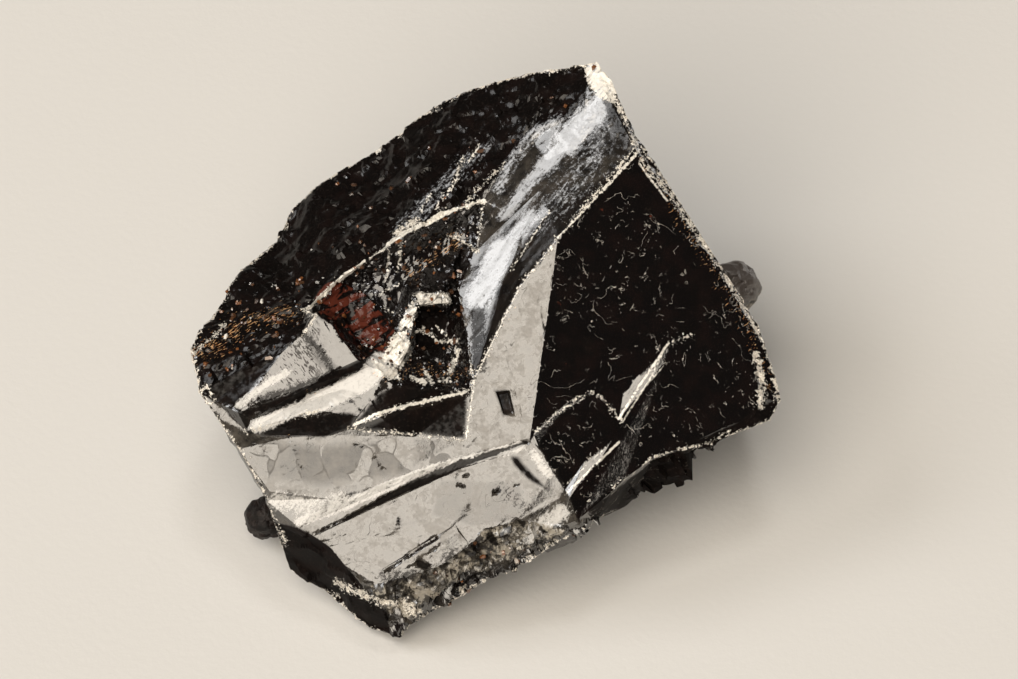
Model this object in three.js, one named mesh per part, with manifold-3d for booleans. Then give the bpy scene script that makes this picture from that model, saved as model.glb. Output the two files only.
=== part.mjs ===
// A twinned cassiterite crystal, about 39 mm across, lying back on a flat patch of its own base,
// with two small crystals growing on its sides. Millimetres, +Z up, origin at the middle of the
// bounding box's underside.
//
// The crystal's broad side faces forward and up. Its corners are given in that side's own frame,
// [across, up, out]: across is +X, up runs up the leaning side, and out stands square to it.
import * as THREE from 'three';
import { ConvexGeometry } from 'three/addons/geometries/ConvexGeometry.js';
import { mergeVertices } from 'three/addons/utils/BufferGeometryUtils.js';
import Module from 'manifold-3d';

// Driving dimensions
const FACING = THREE.MathUtils.degToRad(50);   // the broad side faces this far above the horizon
const FACE_HEIGHT = 13.65;                     // the broad side's middle, above the base plane
const GROWTH_GAP = 0.3;                        // clear space behind each small crystal

// Finishes
const blackAdamantine = { color: 0x16100f, roughness: 0.15, metalness: 0.0 };
const greyBrown = { color: 0x6d6258, roughness: 0.45, metalness: 0.0 };

// The broad faces are planes, each through one point with a slope across and a slope up.
function plane([a0, u0, o0], acrossSlope, upSlope) {
  return (a, u, lift = 0) => [a, u, o0 + acrossSlope * (a - a0) + upSlope * (u - u0) + lift];
}
const peak = [2.8, -6.2, 5.0];                     // where the three largest faces meet
const right = plane(peak, -0.20, -0.04);           // the large face on the right
const rightLow = plane(right(14, 1.2), -0.20, -0.085);
const middle = plane(peak, 0.21, -0.098);          // the narrow triangular face left of it
const grooveTip = [-11.5, -12.5, 3.74];
const leftUpper = plane(grooveTip, 0, 0.09);       // the broad face on the left, above its groove
const leftLower = plane(grooveTip, 0.045, 0.09);   // the same face below the groove
const leftTop = plane([-14.9, -9.6, 4.0], 0.004, 0.045);
const STEP = 0.25;                                 // height of the growth steps on the right face
const CHIP = -0.5;                                 // how far the chipped edges are rounded down

const corners = {
  // Outer edge as the broad side shows it, clockwise from the apex: down the right face
  o0: [7.3, 19.1, 0.3], o1: [8.2, 18.0, 0.9], o2: [9.4, 15.3, 1.7],
  o3: right(10.6, 13.2, CHIP), o4: right(14.2, 7.5, CHIP), o5: right(17.2, 3.0, CHIP),
  o6: right(18.1, 1.5, CHIP), o7: rightLow(19.2, -1.8, CHIP), o8: rightLow(19.6, -3.5, -0.9),
  o9: rightLow(18.9, -4.8, -0.9), o10: rightLow(17.2, -5.5, CHIP), o11: rightLow(15.9, -5.9, CHIP),
  o12: rightLow(15.0, -6.5, CHIP),
  // under the right face, which overhangs here
  o13: [13.5, -8.0, -2.0], o14: [11.5, -9.1, -3.0], o15: [10.2, -10.1, -2.6], o16: [8.7, -10.8, -1.2],
  // the rough lower edge
  o17: [7.4, -11.3, 2.4], o18: [5.9, -12.1, 2.9], o19: [4.1, -13.4, 2.2], o20: [2.2, -14.5, 1.9],
  o21: [0.7, -15.0, 1.3], o22: [-0.6, -15.8, 1.5], o23: [-2.1, -16.1, 0.9], o24: [-3.1, -17.1, 0.6],
  o25: [-5.5, -18.7, 0.0], o26: [-6.3, -19.1, -0.5],
  // the foot and the dark lower left side
  o27: [-7.8, -18.7, -1.0], o28: [-9.3, -17.6, -1.0], o29: [-9.9, -16.6, -1.2],
  o30: [-11.8, -15.7, -1.6], o31: [-13.1, -14.8, -1.8], o32: [-13.8, -13.1, -1.4],
  // up the left edge
  o33: [-14.1, -11.6, 2.6], o34: [-14.6, -10.1, 3.4], o35: [-15.0, -8.8, 3.6], o36: [-16.5, -6.7, 3.7],
  o37: [-18.1, -4.5, 3.7], o38: [-19.2, -2.9, 3.5], o39: [-19.4, -1.3, 2.9], o40: [-19.7, -0.1, 2.0],
  // over the dark back slope, with its notch
  o41: [-19.3, 0.9, 0.8], o42: [-18.1, 2.5, -0.9], o43: [-16.6, 5.1, -2.6], o44: [-14.3, 5.7, -2.8],
  o45: [-14.1, 7.2, -4.4], o46: [-13.3, 9.1, -5.3], o47: [-11.7, 10.7, -5.8], o48: [-9.1, 12.1, -5.8],
  o49: [-7.5, 13.1, -6.0], o50: [-3.9, 16.0, -5.5], o51: [-1.7, 17.1, -4.5], o52: [1.5, 18.1, -3.0],
  o53: [4.9, 18.7, -1.2],

  // Ridge between the right face and the fluted face, from the top down to the groove
  tipLeft: [6.6, 17.1, 0.8], tipRight: [7.8, 17.2, 1.2],
  r0: right(9.8, 13.3), r1: right(7.5, 10.7), r2: right(4.7, 7.3), r3: middle(3.5, 5.7),
  r4: middle(2.2, 4.1), r5: middle(0.9, 1.5), r6: middle(-0.8, -2.0), r7: middle(-1.0, -2.9),
  r8: middle(-1.4, -6.1), r9: [-1.7, -7.2, 4.18],
  peak,
  // Pit in the middle face
  p0: middle(0.6, -2.9), p1: middle(1.5, -2.8), p2: middle(1.9, -4.6), p3: middle(1.1, -4.4),
  p4: middle(0.8, -3.1, -0.35), p5: middle(1.4, -3.0, -0.3), p6: middle(1.7, -4.3, -0.12),
  p7: middle(1.1, -4.1, -0.2),

  // Right face: inner line of its chipped border, then its growth steps
  a1: right(13.5, 7.2), a2: right(16.5, 2.9), a3: right(17.4, 1.2), a4: rightLow(17.4, -1.1),
  a5: rightLow(18.3, -3.3), a6: rightLow(17.7, -4.6), a7: rightLow(15.9, -5.2),
  l1: rightLow(12.3, -6.9), l2: rightLow(10.9, -7.4), l3: rightLow(9.2, -8.6),
  l4: rightLow(8.2, -9.6, -0.1),
  s1: right(3.1, -5.7), s2: right(5.5, -3.5), s3: right(5.3, -4.1, STEP), s4: right(3.5, -6.2, STEP),
  s5: right(7.4, -3.1), s6: right(7.5, -3.8, STEP), s7: right(9.0, -3.4), s8: right(12.3, 0.4),
  s9: right(10.2, -1.7), s10: rightLow(8.7, -4.9), s11: rightLow(10.3, -3.1),
  s12: rightLow(11.7, -1.2), s13: right(8.3, -6.1, STEP), s14: right(6.5, -7.5, STEP),
  s15: right(5.2, -9.4, STEP - 0.1), s16: rightLow(5.5, -9.9), s17: rightLow(7.3, -7.8),
  s18: right(4.0, -7.6, STEP), s19: right(3.5, -6.7, STEP - 0.1),
  s20: [4.9, -9.9, 4.72], s21: [3.9, -10.1, 4.66], s22: [3.7, -9.3, 4.8], s23: leftLower(1.9, -6.9),
  s24: rightLow(6.0, -11.4, -0.2), s25: [4.9, -11.8, 4.3],

  // Left face: groove, creases and second step
  g1: leftLower(-1.7, -8.0), g2: leftLower(1.9, -11.5),
  y0: [-14.4, -9.5, 4.0], y1: leftUpper(-10.5, -10.0), y2: leftUpper(-6.6, -8.9),
  v1: leftLower(-7.3, -14.9), v2: leftLower(-3.9, -12.5), v3: leftLower(-2.1, -11.7),
  v4: leftLower(-3.7, -12.9, 0.14), v5: leftLower(-1.9, -12.2, 0.2),
  f1: leftLower(-0.3, -12.1), f2: leftLower(-1.1, -13.1, 0.1), f3: leftLower(-3.1, -14.5),
  f4: leftLower(-5.5, -15.3), f5: leftLower(-7.1, -15.7, -0.1),
  grooveTip,
  x0: leftUpper(-12.5, -11.9, -0.1), x1: leftLower(-10.5, -13.2, -0.05),
  x2: leftLower(-9.4, -14.5, -0.1), x3: leftLower(-8.3, -15.8, -0.3), x4: [-6.8, -17.2, 2.2],
  // Broken band along the lower edge
  b1: [2.9, -13.0, 3.7], b2: [0.4, -13.9, 3.3], b3: [-2.4, -15.2, 3.0], b4: [-4.8, -16.7, 2.6],

  // Ribs on the upper left
  k0: [-18.6, -2.5, 3.85], k1: [-18.1, -3.5, 3.7], k2: [-13.6, -0.3, 4.75], k3: [-15.0, -2.2, 4.75],
  k4: [-16.3, -3.6, 4.5], k5: [-16.5, -4.3, 4.5], k6: [-15.0, -3.5, 4.85], k7: [-12.8, -3.1, 5.1],
  k8: [-11.7, -2.5, 5.1], k9: [-10.1, -1.5, 4.95], k10: [-12.3, 0.9, 4.75], k11: [-11.3, 2.3, 4.55],
  k12: [-10.3, 1.5, 4.65], k13: [-8.6, -0.8, 4.85],
  k20: [-15.7, -4.8, 4.3], k21: [-13.5, -4.1, 4.45], k22: [-12.1, -3.5, 4.5], k23: [-9.5, -2.7, 4.5],
  k24: [-7.8, -1.2, 4.3], k25: [-6.9, -1.6, 4.4], k26: [-6.3, -2.5, 4.45], k27: [-7.7, -3.5, 4.75],
  k28: [-8.6, -4.5, 4.85], k29: [-9.5, -4.1, 4.85], k30: [-11.1, -4.1, 4.85], k31: [-12.5, -4.5, 4.8],
  k32: [-14.6, -5.1, 4.6], k33: [-15.9, -5.5, 4.25],
  k34: leftTop(-14.6, -5.8), k35: leftTop(-13.1, -5.9), k36: leftTop(-10.6, -5.8),
  k37: leftTop(-9.1, -5.3, 0.1), k38: leftTop(-4.9, -5.9),
  k40: [-7.1, -4.6, 4.85], k41: [-5.5, -3.9, 4.85], k42: [-3.1, -3.0, 4.45], k43: [-3.8, -2.7, 4.0],

  // Fluted face left of the ridge
  c0: [6.5, 15.7, 1.0], c1: [4.4, 14.9, 0.6], c2: [2.9, 14.0, 0.3], c3: [1.1, 12.2, 0.7],
  c4: [-0.2, 9.8, 1.3], c5: [-0.7, 6.5, 1.2], c6: [-1.9, 3.9, 1.6], c7: [-1.4, 1.2, 2.6],
  c8: [-1.1, -1.1, 3.4],
  c10: [5.5, 13.2, 1.5], c11: [3.5, 10.5, 2.1], c12: [2.4, 7.7, 2.5], c13: [1.1, 4.3, 2.9],
  c14: [0.0, 0.6, 3.3], c15: [3.9, 12.5, 1.15], c16: [1.2, 9.1, 1.95],

  // Rim of the hollow, its floor, the red window, the upright block and the deep pocket
  e0: [-12.1, 2.5, 3.0], e1: [-9.5, 5.0, 2.7], e2: [-6.1, 7.0, 2.3], e3: [-2.1, 9.1, 1.8],
  w1: [-9.0, 4.3, 1.3], w2: [-5.8, 5.7, 0.6], w3: [-2.5, 7.5, 0.2],
  h0: [-10.4, 2.6, 2.5], h1: [-9.3, 2.0, 2.1], h2: [-7.7, 4.2, 1.3], h3: [-6.3, 2.1, 1.4],
  h4: [-6.8, 0.2, 2.2], h5: [-8.3, 0.1, 2.3], h6: [-9.9, 3.6, 1.9],
  u0: [-7.1, -0.5, 3.3], u1: [-5.9, 1.7, 3.1], u2: [-4.9, 3.5, 2.6], u3: [-3.0, 3.7, 2.3],
  u4: [-2.5, 3.0, 2.4], u5: [-4.6, 2.9, 2.9], u6: [-5.2, 0.2, 3.3], u7: [-5.8, -1.2, 3.5],
  d0: [-4.4, 2.5, 0.2], d1: [-2.5, 2.4, 0.0], d2: [-2.8, 0.5, 0.5], d3: [-4.7, 0.4, 0.8],
  q0: [-1.6, 7.0, 0.1], q1: [-2.2, 3.8, 0.6], q2: [-2.1, 0.2, 1.2], q3: [-1.7, -1.7, 2.4],
  q4: [-4.7, -1.7, 3.2], q5: [-3.0, -1.9, 2.6], q6: [-5.4, 4.5, 0.7],

  // Hidden sides: a ring of corners part way down
  m0: [5.5, 16.4, -6.0], m1: [9.4, 12.8, -9.0], m2: [16.2, 3.4, -11.0], m3: [18.3, -2.5, -8.0],
  m4: [14.4, -6.3, -5.0], m5: [9.9, -9.5, -5.6], m6: [5.6, -11.7, -3.2], m7: [-1.8, -15.4, -2.6],
  m8: [-6.3, -18.6, -1.6], m9: [-9.4, -16.8, -2.8], m10: [-13.1, -14.0, -3.8],
  m11: [-14.2, -9.6, -1.8], m12: [-18.1, -3.2, -1.2], m13: [-18.1, 0.9, -4.2], m14: [-14.8, 4.8, -7.8],
  m15: [-11.3, 9.4, -9.6], m16: [-4.0, 14.8, -9.2],
};

// The flat patch of the base, [x, y] at z = 0, clockwise as the broad side is seen
const basePatch = [
  [4.5, 13.5], [10.8, 11.6], [14.3, 4.6], [9.6, -1.2], [2.6, -5.6], [-6.2, -12.3], [-12.0, -7.2],
  [-13.4, 3.6], [-9.6, 11.2],
];
basePatch.forEach(([x, y], i) => {
  corners[`z${i}`] = new THREE.Vector3(x, y, 0);
});

// Facets of the broad side, each a ring of corners
const frontFacets = [
  // apex and its chipped right border
  'o53 o0 tipLeft', 'o0 o1 tipRight tipLeft', 'o1 o2 tipRight', 'tipLeft tipRight o2 r0 c10 c0',
  'o2 o3 r0', 'o3 o4 a1 r0', 'o4 o5 a2 a1', 'o5 o6 a3 a2', 'o6 o7 a4 a3', 'o7 o8 a5 a4', 'o8 o9 a6 a5',
  'o9 o10 a7 a6', 'o10 o11 a7',
  // right face: main field, lower field, lens field and the risers between them
  'r0 a1 a2 a3 s8 s9 s7 s5 s2 s1 peak r2 r1',
  'a3 a4 a5 a6 a7 o11 o12 l1 l2 l3 l4 o17 s24 s16 s17 s13 s10 s11 s12 s8',
  's8 s12 s11 s10 s7 s9', 's1 s2 s3 s4', 's2 s5 s6 s3', 's5 s7 s10 s6',
  's4 s3 s6 s10 s13 s14 s18 s19', 's13 s17 s16 s15 s14', 's18 s14 s15', 'peak s1 s4 s19',
  's19 s18 s15 s20 s21 s22', 's23 peak s19 s22', 's21 s20 s25 g2', 's20 s15 s16 s24 s25',
  // under the overhang
  'o12 o13 l1', 'o13 o14 l2 l1', 'o14 o15 l3 l2', 'o15 o16 l4 l3', 'o16 o17 l4',
  // middle face's pit
  'p0 p1 p5 p4', 'p1 p2 p6 p5', 'p2 p3 p7 p6', 'p3 p0 p4 p7', 'p4 p5 p6 p7',
  // fluted face
  'r0 r1 c11 c10', 'r1 r2 r3 c12 c11', 'r3 r4 c13 c12', 'r4 r5 c14 c13', 'r5 r6 c8 c14',
  'c10 c11 c16 c15', 'c0 c10 c15 c1', 'c1 c15 c2', 'c2 c15 c16 c3', 'c3 c16 c4',
  'c16 c11 c12 c5 c4', 'c12 c13 c6 c5', 'c13 c14 c7 c6', 'c14 c8 c7',
  // left face
  'r9 y2 y1 y0 o34 o33 x0 grooveTip', 'r8 k38 k37 k36 k35 k34 k33 o36 o35 y0 y1 y2 r9',
  'o34 y0 o35', 'grooveTip g1 r9', 'r9 g1 s23 peak',
  'grooveTip x1 x2 x3 f5 v1 v2 v3 f1 g2 s21 s22 s23 g1', 'v1 v4 v5 v3 v2', 'v1 f5 f4 f3 f2 v5 v4',
  'v3 v5 f2 f1',
  // broken lower band and foot
  'g2 f1 f2 b2 b1', 'g2 b1 s25', 's25 b1 o19 o18', 's24 s25 o18 o17', 'b1 b2 o21 o20 o19',
  'b2 f2 f3 b3', 'b2 b3 o23 o22 o21', 'f3 f4 b4 b3', 'b3 b4 o25 o24 o23', 'f4 f5 x4 b4', 'b4 x4 o25',
  'f5 x3 x4', 'x4 o26 o25',
  // dark lower left side
  'o33 o32 o31 x0', 'x0 o31 grooveTip', 'grooveTip o31 o30 x1', 'x1 o30 x2', 'x2 o30 o29 o28 x3',
  'x3 o28 o27 x4', 'x4 o27 o26',
  // ribs
  'o38 k0 k1', 'o38 k1 k4 k5 k20 k33 o36 o37', 'k0 k2 k3 k4 k1', 'k2 k10 k8 k7 k6 k5 k4 k3',
  'k10 k9 k8', 'k10 k11 k12 k13 k9', 'k5 k6 k7 k8 k9 k13 k24 k23 k22 k21 k20',
  'k20 k21 k22 k23 k24 k25 k26 k27 k28 k29 k30 k31 k32 k33',
  'k33 k32 k31 k30 k29 k28 k37 k36 k35 k34', 'k28 k27 k40 k37', 'k27 k26 k43 k41 k40',
  'k43 r7 k42 k41', 'k37 k40 k41 k42 r7 r8 k38',
  // dark back slope, in three fields
  'o38 o39 o40 o41 o42 e0 k11 k10 k2 k0', 'o42 o43 o44 o45 o46 o47 e1 e0', 'o47 o48 o49 e2 e1',
  'o49 o50 o51 e3 e2', 'o51 o52 c3 c4 e3', 'o52 o53 c1 c2 c3', 'o53 tipLeft c0 c1',
  // hollow
  'e0 e1 w1 h6', 'e1 e2 w2 w1', 'e2 e3 w3 w2', 'e3 c4 w3', 'c4 c5 q0 w3', 'c5 c6 q1 q0', 'c6 c7 q2 q1',
  'c7 c8 q3 q2', 'k11 e0 h6 h0', 'k11 h0 k12', 'h0 h6 h1', 'k12 h0 h1 h5 k13', 'h6 w1 h2 h3 h4 h5 h1',
  'w1 w2 q6 h2', 'h2 q6 h3', 'h3 q6 u2 u1', 'h3 u1 u0 h4', 'h4 u0 k24 k13 h5',
  'w2 w3 q0 q1 u3 u2 q6', 'u2 u3 u4 u5', 'u2 u5 u6 u7 u0 u1', 'u3 q1 u4', 'u5 u4 d1 d0', 'u5 d0 d3 u6',
  'u4 q1 d1', 'q1 q2 d2 d1', 'd0 d1 d2 d3', 'u6 d3 q4 u7', 'd3 d2 q2 q3 q5 q4', 'u0 u7 k26 k25 k24',
  'u7 q4 k43 k26', 'q4 q5 r7 k43', 'q5 q3 c8 r6 r7',
];

// Facets of the hidden sides: from the outer edge to the ring, then from the ring to the base
const hiddenFacets = [
  'o0 o1 o2 o3 m1 m0', 'o3 o4 o5 m2 m1', 'o5 o6 o7 o8 m3 m2', 'o8 o9 o10 o11 o12 m4 m3',
  'o12 o13 o14 m5 m4', 'o14 o15 o16 o17 m6 m5', 'o17 o18 o19 o20 o21 m7 m6', 'o21 o22 o23 o24 o25 m8 m7',
  'o25 o26 o27 o28 m9 m8', 'o28 o29 o30 o31 m10 m9', 'o31 o32 o33 o34 m11 m10', 'o34 o35 o36 o37 m12 m11',
  'o37 o38 o39 o40 m13 m12', 'o40 o41 o42 o43 m14 m13', 'o43 o44 o45 o46 o47 m15 m14',
  'o47 o48 o49 o50 m16 m15', 'o50 o51 o52 o53 o0 m0 m16',
  'm0 m1 z1 z0', 'm1 m2 z2 z1', 'm2 m3 z2', 'm3 m4 m5 z3 z2', 'm5 m6 z4 z3', 'm6 m7 m8 z5 z4',
  'm8 m9 m10 z6 z5', 'm10 m11 z6', 'm11 m12 m13 z7 z6', 'm13 m14 z7', 'm14 m15 z8 z7', 'm15 m16 m0 z0 z8',
  'z0 z1 z2 z3 z4 z5 z6 z7 z8',
];

// [across, up, out] to the part's own axes
const outAxis = new THREE.Vector3(0, -Math.cos(FACING), Math.sin(FACING));
const upAxis = new THREE.Vector3(0, Math.sin(FACING), Math.cos(FACING));
function place(corner) {
  if (corner.isVector3) {
    return corner;
  }
  const [across, up, out] = corner;
  return new THREE.Vector3(across, 0, FACE_HEIGHT).addScaledVector(upAxis, up).addScaledVector(outAxis, out);
}

const positions = [];
const cornerPoint = Object.fromEntries(Object.entries(corners).map(([name, c]) => [name, place(c)]));

// Twice the area vector of a ring of points, which stands square to it
function areaVector(ring) {
  const sum = new THREE.Vector3();
  ring.forEach((point, i) => {
    sum.add(new THREE.Vector3().crossVectors(point, ring[(i + 1) % ring.length]));
  });
  return sum;
}

// One facet, split into triangles on its own plane; holes are rings of corners inside it
function facet(ring, holes = []) {
  const normal = areaVector(ring).normalize();
  const first = new THREE.Vector3().subVectors(ring[1], ring[0]).normalize();
  const second = new THREE.Vector3().crossVectors(normal, first);
  const flatten = (points) => points.map((p) => new THREE.Vector2(p.dot(first), p.dot(second)));
  const triangles = THREE.ShapeUtils.triangulateShape(flatten(ring), holes.map(flatten));
  const points = [...ring, ...holes.flat()];
  for (const triangle of triangles) {
    const abc = triangle.map((i) => points[i]);
    if (areaVector(abc).dot(normal) < 0) {
      abc.reverse();
    }
    abc.forEach((p) => positions.push(p.x, p.y, p.z));
  }
}

const ringOf = (names) => names.split(' ').map((name) => cornerPoint[name]);
function frontFacet(names, holeNames = []) {
  const ring = ringOf(names);
  if (areaVector(ring).dot(outAxis) < 0) {
    ring.reverse();
  }
  facet(ring, holeNames.map(ringOf));
}

frontFacet('peak r2 r3 r4 r5 r6 r7 r8 r9', ['p0 p1 p2 p3']);
frontFacets.forEach((names) => frontFacet(names));
hiddenFacets.forEach((names) => facet(ringOf(names)));

const crystalGeometry = new THREE.BufferGeometry();
crystalGeometry.setAttribute('position', new THREE.Float32BufferAttribute(positions, 3));

// manifold-3d solids, for cutting the small crystals clear of the large one
const wasm = await Module();
wasm.setup();
function solid(geometry) {
  const bare = geometry.clone();
  bare.deleteAttribute('normal');
  bare.deleteAttribute('uv');
  const merged = mergeVertices(bare, 1e-4);
  return new wasm.Manifold(new wasm.Mesh({
    numProp: 3,
    vertProperties: new Float32Array(merged.attributes.position.array),
    triVerts: new Uint32Array(merged.index.array),
  }));
}
function geometryOf(manifold) {
  const mesh = manifold.getMesh();
  const geometry = new THREE.BufferGeometry();
  geometry.setAttribute('position', new THREE.BufferAttribute(mesh.vertProperties, 3));
  geometry.setIndex(new THREE.BufferAttribute(mesh.triVerts, 1));
  return geometry;
}

// A small stubby crystal: rings of corners along its axis, each [distance along, radius]
function stubbyCrystal(centre, direction, profile, sides, squash) {
  const turn = new THREE.Quaternion().setFromUnitVectors(new THREE.Vector3(0, 0, 1), direction);
  const points = [];
  profile.forEach(([along, radius], level) => {
    for (let i = 0; i < sides; i += 1) {
      const angle = (i + 0.5 * (level % 2)) * 2 * Math.PI / sides;
      const p = new THREE.Vector3(radius * Math.cos(angle), squash * radius * Math.sin(angle), along);
      points.push(p.applyQuaternion(turn).add(centre));
    }
  });
  return new ConvexGeometry(points);
}

// Cut back so that a clear gap stays between the small crystal and the face it grows on
function cutClear(geometry, direction) {
  const shifted = direction.clone().multiplyScalar(GROWTH_GAP * 1.4);
  const neighbour = solid(crystalGeometry).translate(shifted.toArray());
  return geometryOf(solid(geometry).subtract(neighbour));
}

const rightGrowth = {
  centre: place([16.9, 4.2, -8.5]),
  direction: new THREE.Vector3(0.86, 0.5, 0.1).normalize(),
  profile: [[-2.2, 1.5], [-0.6, 2.0], [0.6, 1.7], [1.3, 0.9]],
  sides: 7,
  squash: 0.86,
};
const leftGrowth = {
  centre: place([-14.7, -11.3, -5.0]),
  direction: new THREE.Vector3(-0.93, -0.3, -0.05).normalize(),
  profile: [[-2.4, 1.4], [-0.6, 1.75], [0.8, 1.5], [1.5, 0.8]],
  sides: 6,
  squash: 0.9,
};
function growth({ centre, direction, profile, sides, squash }) {
  return cutClear(stubbyCrystal(centre, direction, profile, sides, squash), direction);
}

function mesh(name, geometry, finish) {
  geometry.computeVertexNormals();
  const piece = new THREE.Mesh(geometry, new THREE.MeshStandardMaterial(finish));
  piece.name = name;
  return piece;
}

const crystals = new THREE.Group();
crystals.add(mesh('twinned_crystal', crystalGeometry, blackAdamantine));
crystals.add(mesh('side_crystal_right', growth(rightGrowth), greyBrown));
crystals.add(mesh('side_crystal_left', growth(leftGrowth), blackAdamantine));

// The origin goes to the middle of the bounding box's underside
const box = new THREE.Box3().setFromObject(crystals);
const middleOfBox = box.getCenter(new THREE.Vector3());
crystals.position.set(-middleOfBox.x, -middleOfBox.y, -box.min.z);

const specimen = new THREE.Group();
specimen.add(crystals);

export default specimen;
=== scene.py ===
"""Looks of a twinned cassiterite crystal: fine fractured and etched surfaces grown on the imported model.

Surfaces are worked out in millimetres in the broad side's frame, [across, up, out], and are written
into the meshes in metres in the part's own frame.
"""

import math

import bpy
import numpy as np
from bpy.props import FloatProperty, FloatVectorProperty, IntProperty, PointerProperty
from mathutils import Matrix, Vector


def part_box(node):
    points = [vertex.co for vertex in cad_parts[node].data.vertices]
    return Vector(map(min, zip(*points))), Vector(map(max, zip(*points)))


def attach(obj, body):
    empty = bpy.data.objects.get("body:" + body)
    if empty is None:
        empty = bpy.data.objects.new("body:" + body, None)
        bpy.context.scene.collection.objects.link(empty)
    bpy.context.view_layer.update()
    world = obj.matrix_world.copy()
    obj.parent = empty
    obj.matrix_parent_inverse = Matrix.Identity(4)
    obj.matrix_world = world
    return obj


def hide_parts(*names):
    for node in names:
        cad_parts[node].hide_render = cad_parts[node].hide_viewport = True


bl_info = {
    "name": "Cassiterite Crystal",
    "version": (1, 0, 0),
    "blender": (4, 5, 0),
    "location": "3D View > Sidebar > Crystal",
    "description": "Builds a twinned cassiterite crystal with fractured, etched and mirror-like faces",
    "category": "Object",
}

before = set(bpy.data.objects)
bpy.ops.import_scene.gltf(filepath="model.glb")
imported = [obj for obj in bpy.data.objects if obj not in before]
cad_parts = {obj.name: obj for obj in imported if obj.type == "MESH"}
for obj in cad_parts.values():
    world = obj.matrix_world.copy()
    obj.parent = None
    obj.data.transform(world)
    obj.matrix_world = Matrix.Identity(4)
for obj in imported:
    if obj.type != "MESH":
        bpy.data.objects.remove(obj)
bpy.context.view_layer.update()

MM = 1000.0                                   # millimetres in a metre
BODY = "root"
FACING = math.radians(50)                     # the broad side faces this far above the horizon
SIDE_MIDDLE = np.array([0.05, -1.33, 13.65])  # the broad side's middle, in millimetres
ACROSS = np.array([1.0, 0.0, 0.0])
UP = np.array([0.0, math.sin(FACING), math.cos(FACING)])
OUT = np.array([0.0, -math.cos(FACING), math.sin(FACING)])
SIDE_AXES = np.stack([ACROSS, UP, OUT], axis=1)

# Fields of the broad side, as outlines of [across, up] corners in millimetres, tested in this order
FIELDS = {
    "hollow": [(-12.2, 2.4), (-9.5, 5.1), (-6.1, 7.1), (-2.1, 9.2), (-0.2, 9.8), (-0.7, 6.5), (-1.9, 3.9),
               (-1.4, 1.2), (-1.1, -2.0), (-1.0, -2.9), (-3.8, -2.7), (-6.3, -2.5), (-8.6, -0.9),
               (-10.4, 1.5), (-11.3, 2.3)],
    "ribs": [(-18.7, -2.4), (-13.6, -0.2), (-12.3, 1.0), (-11.3, 2.4), (-10.2, 1.5), (-8.5, -0.8),
             (-6.3, -1.8), (-1.0, -2.9), (-1.4, -6.1), (-4.9, -5.9), (-9.1, -5.3), (-13.1, -5.95),
             (-15.9, -5.5), (-18.2, -3.6)],
    "middle": [(4.7, 7.3), (2.8, -6.2), (-1.7, -7.2), (-1.4, -6.1), (-0.8, -2.0), (0.9, 1.5), (2.2, 4.1),
               (3.5, 5.7)],
    "flutes": [(7.4, 19.2), (8.4, 18.0), (9.6, 15.3), (9.8, 13.3), (4.7, 7.3), (2.2, 4.1), (-0.8, -2.0),
               (-1.4, 1.2), (-1.9, 3.9), (-0.7, 6.5), (-0.2, 9.8), (1.1, 12.2), (2.9, 14.0), (6.5, 15.7)],
    "right": [(9.7, 13.5), (19.8, 0.5), (19.8, -3.9), (17.2, -5.5), (12.3, -6.9), (7.4, -11.4), (6.0, -11.4),
              (5.2, -9.4), (2.8, -6.2), (4.7, 7.3)],
    "left": [(-19.2, -2.9), (-18.1, -3.6), (-15.9, -5.5), (-9.1, -5.3), (-1.4, -6.1), (2.8, -6.2),
             (5.6, -9.9), (5.9, -12.2), (4.9, -11.8), (1.9, -11.5), (-0.3, -12.1), (-3.1, -14.5),
             (-7.1, -15.7), (-8.3, -15.8), (-11.5, -12.5), (-14.1, -11.6), (-16.5, -6.7)],
    "broken": [(7.5, -11.3), (4.9, -11.6), (-0.3, -12.1), (-3.1, -14.4), (-7.1, -15.6), (-8.3, -15.8),
               (-6.3, -19.2), (-2.9, -17.2), (4.0, -13.6)],
    "foot": [(-14.2, -11.5), (-11.5, -12.5), (-8.3, -15.8), (-6.3, -19.2), (-9.4, -17.7), (-14.0, -13.2)],
    "slope": [(-19.8, -0.1), (-16.6, 5.2), (-11.7, 10.8), (-1.7, 17.2), (7.3, 19.2), (6.5, 15.7),
              (1.1, 12.2), (-2.1, 9.1), (-12.1, 2.5), (-13.6, -0.3), (-19.3, -2.8)],
}
HIDDEN = "hidden"
FIELD_NAMES = [*FIELDS, HIDDEN]

# Triangle lengths in millimetres: along the edges of each field, and in its middle
EDGE_LENGTH = {"hollow": 0.2, "ribs": 0.23, "middle": 0.23, "flutes": 0.23, "right": 0.23, "left": 0.23,
               "broken": 0.2, "foot": 0.32, "slope": 0.32, HIDDEN: 0.54}
OPEN_LENGTH = {"hollow": 0.24, "ribs": 0.33, "middle": 0.6, "flutes": 0.3, "right": 0.9, "left": 0.6,
               "broken": 0.22, "foot": 0.5, "slope": 0.4, HIDDEN: 0.54}
CLOSE_TO_EDGE = (0.1, 0.55)                   # from here the triangles grow, and here they are full size

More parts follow.
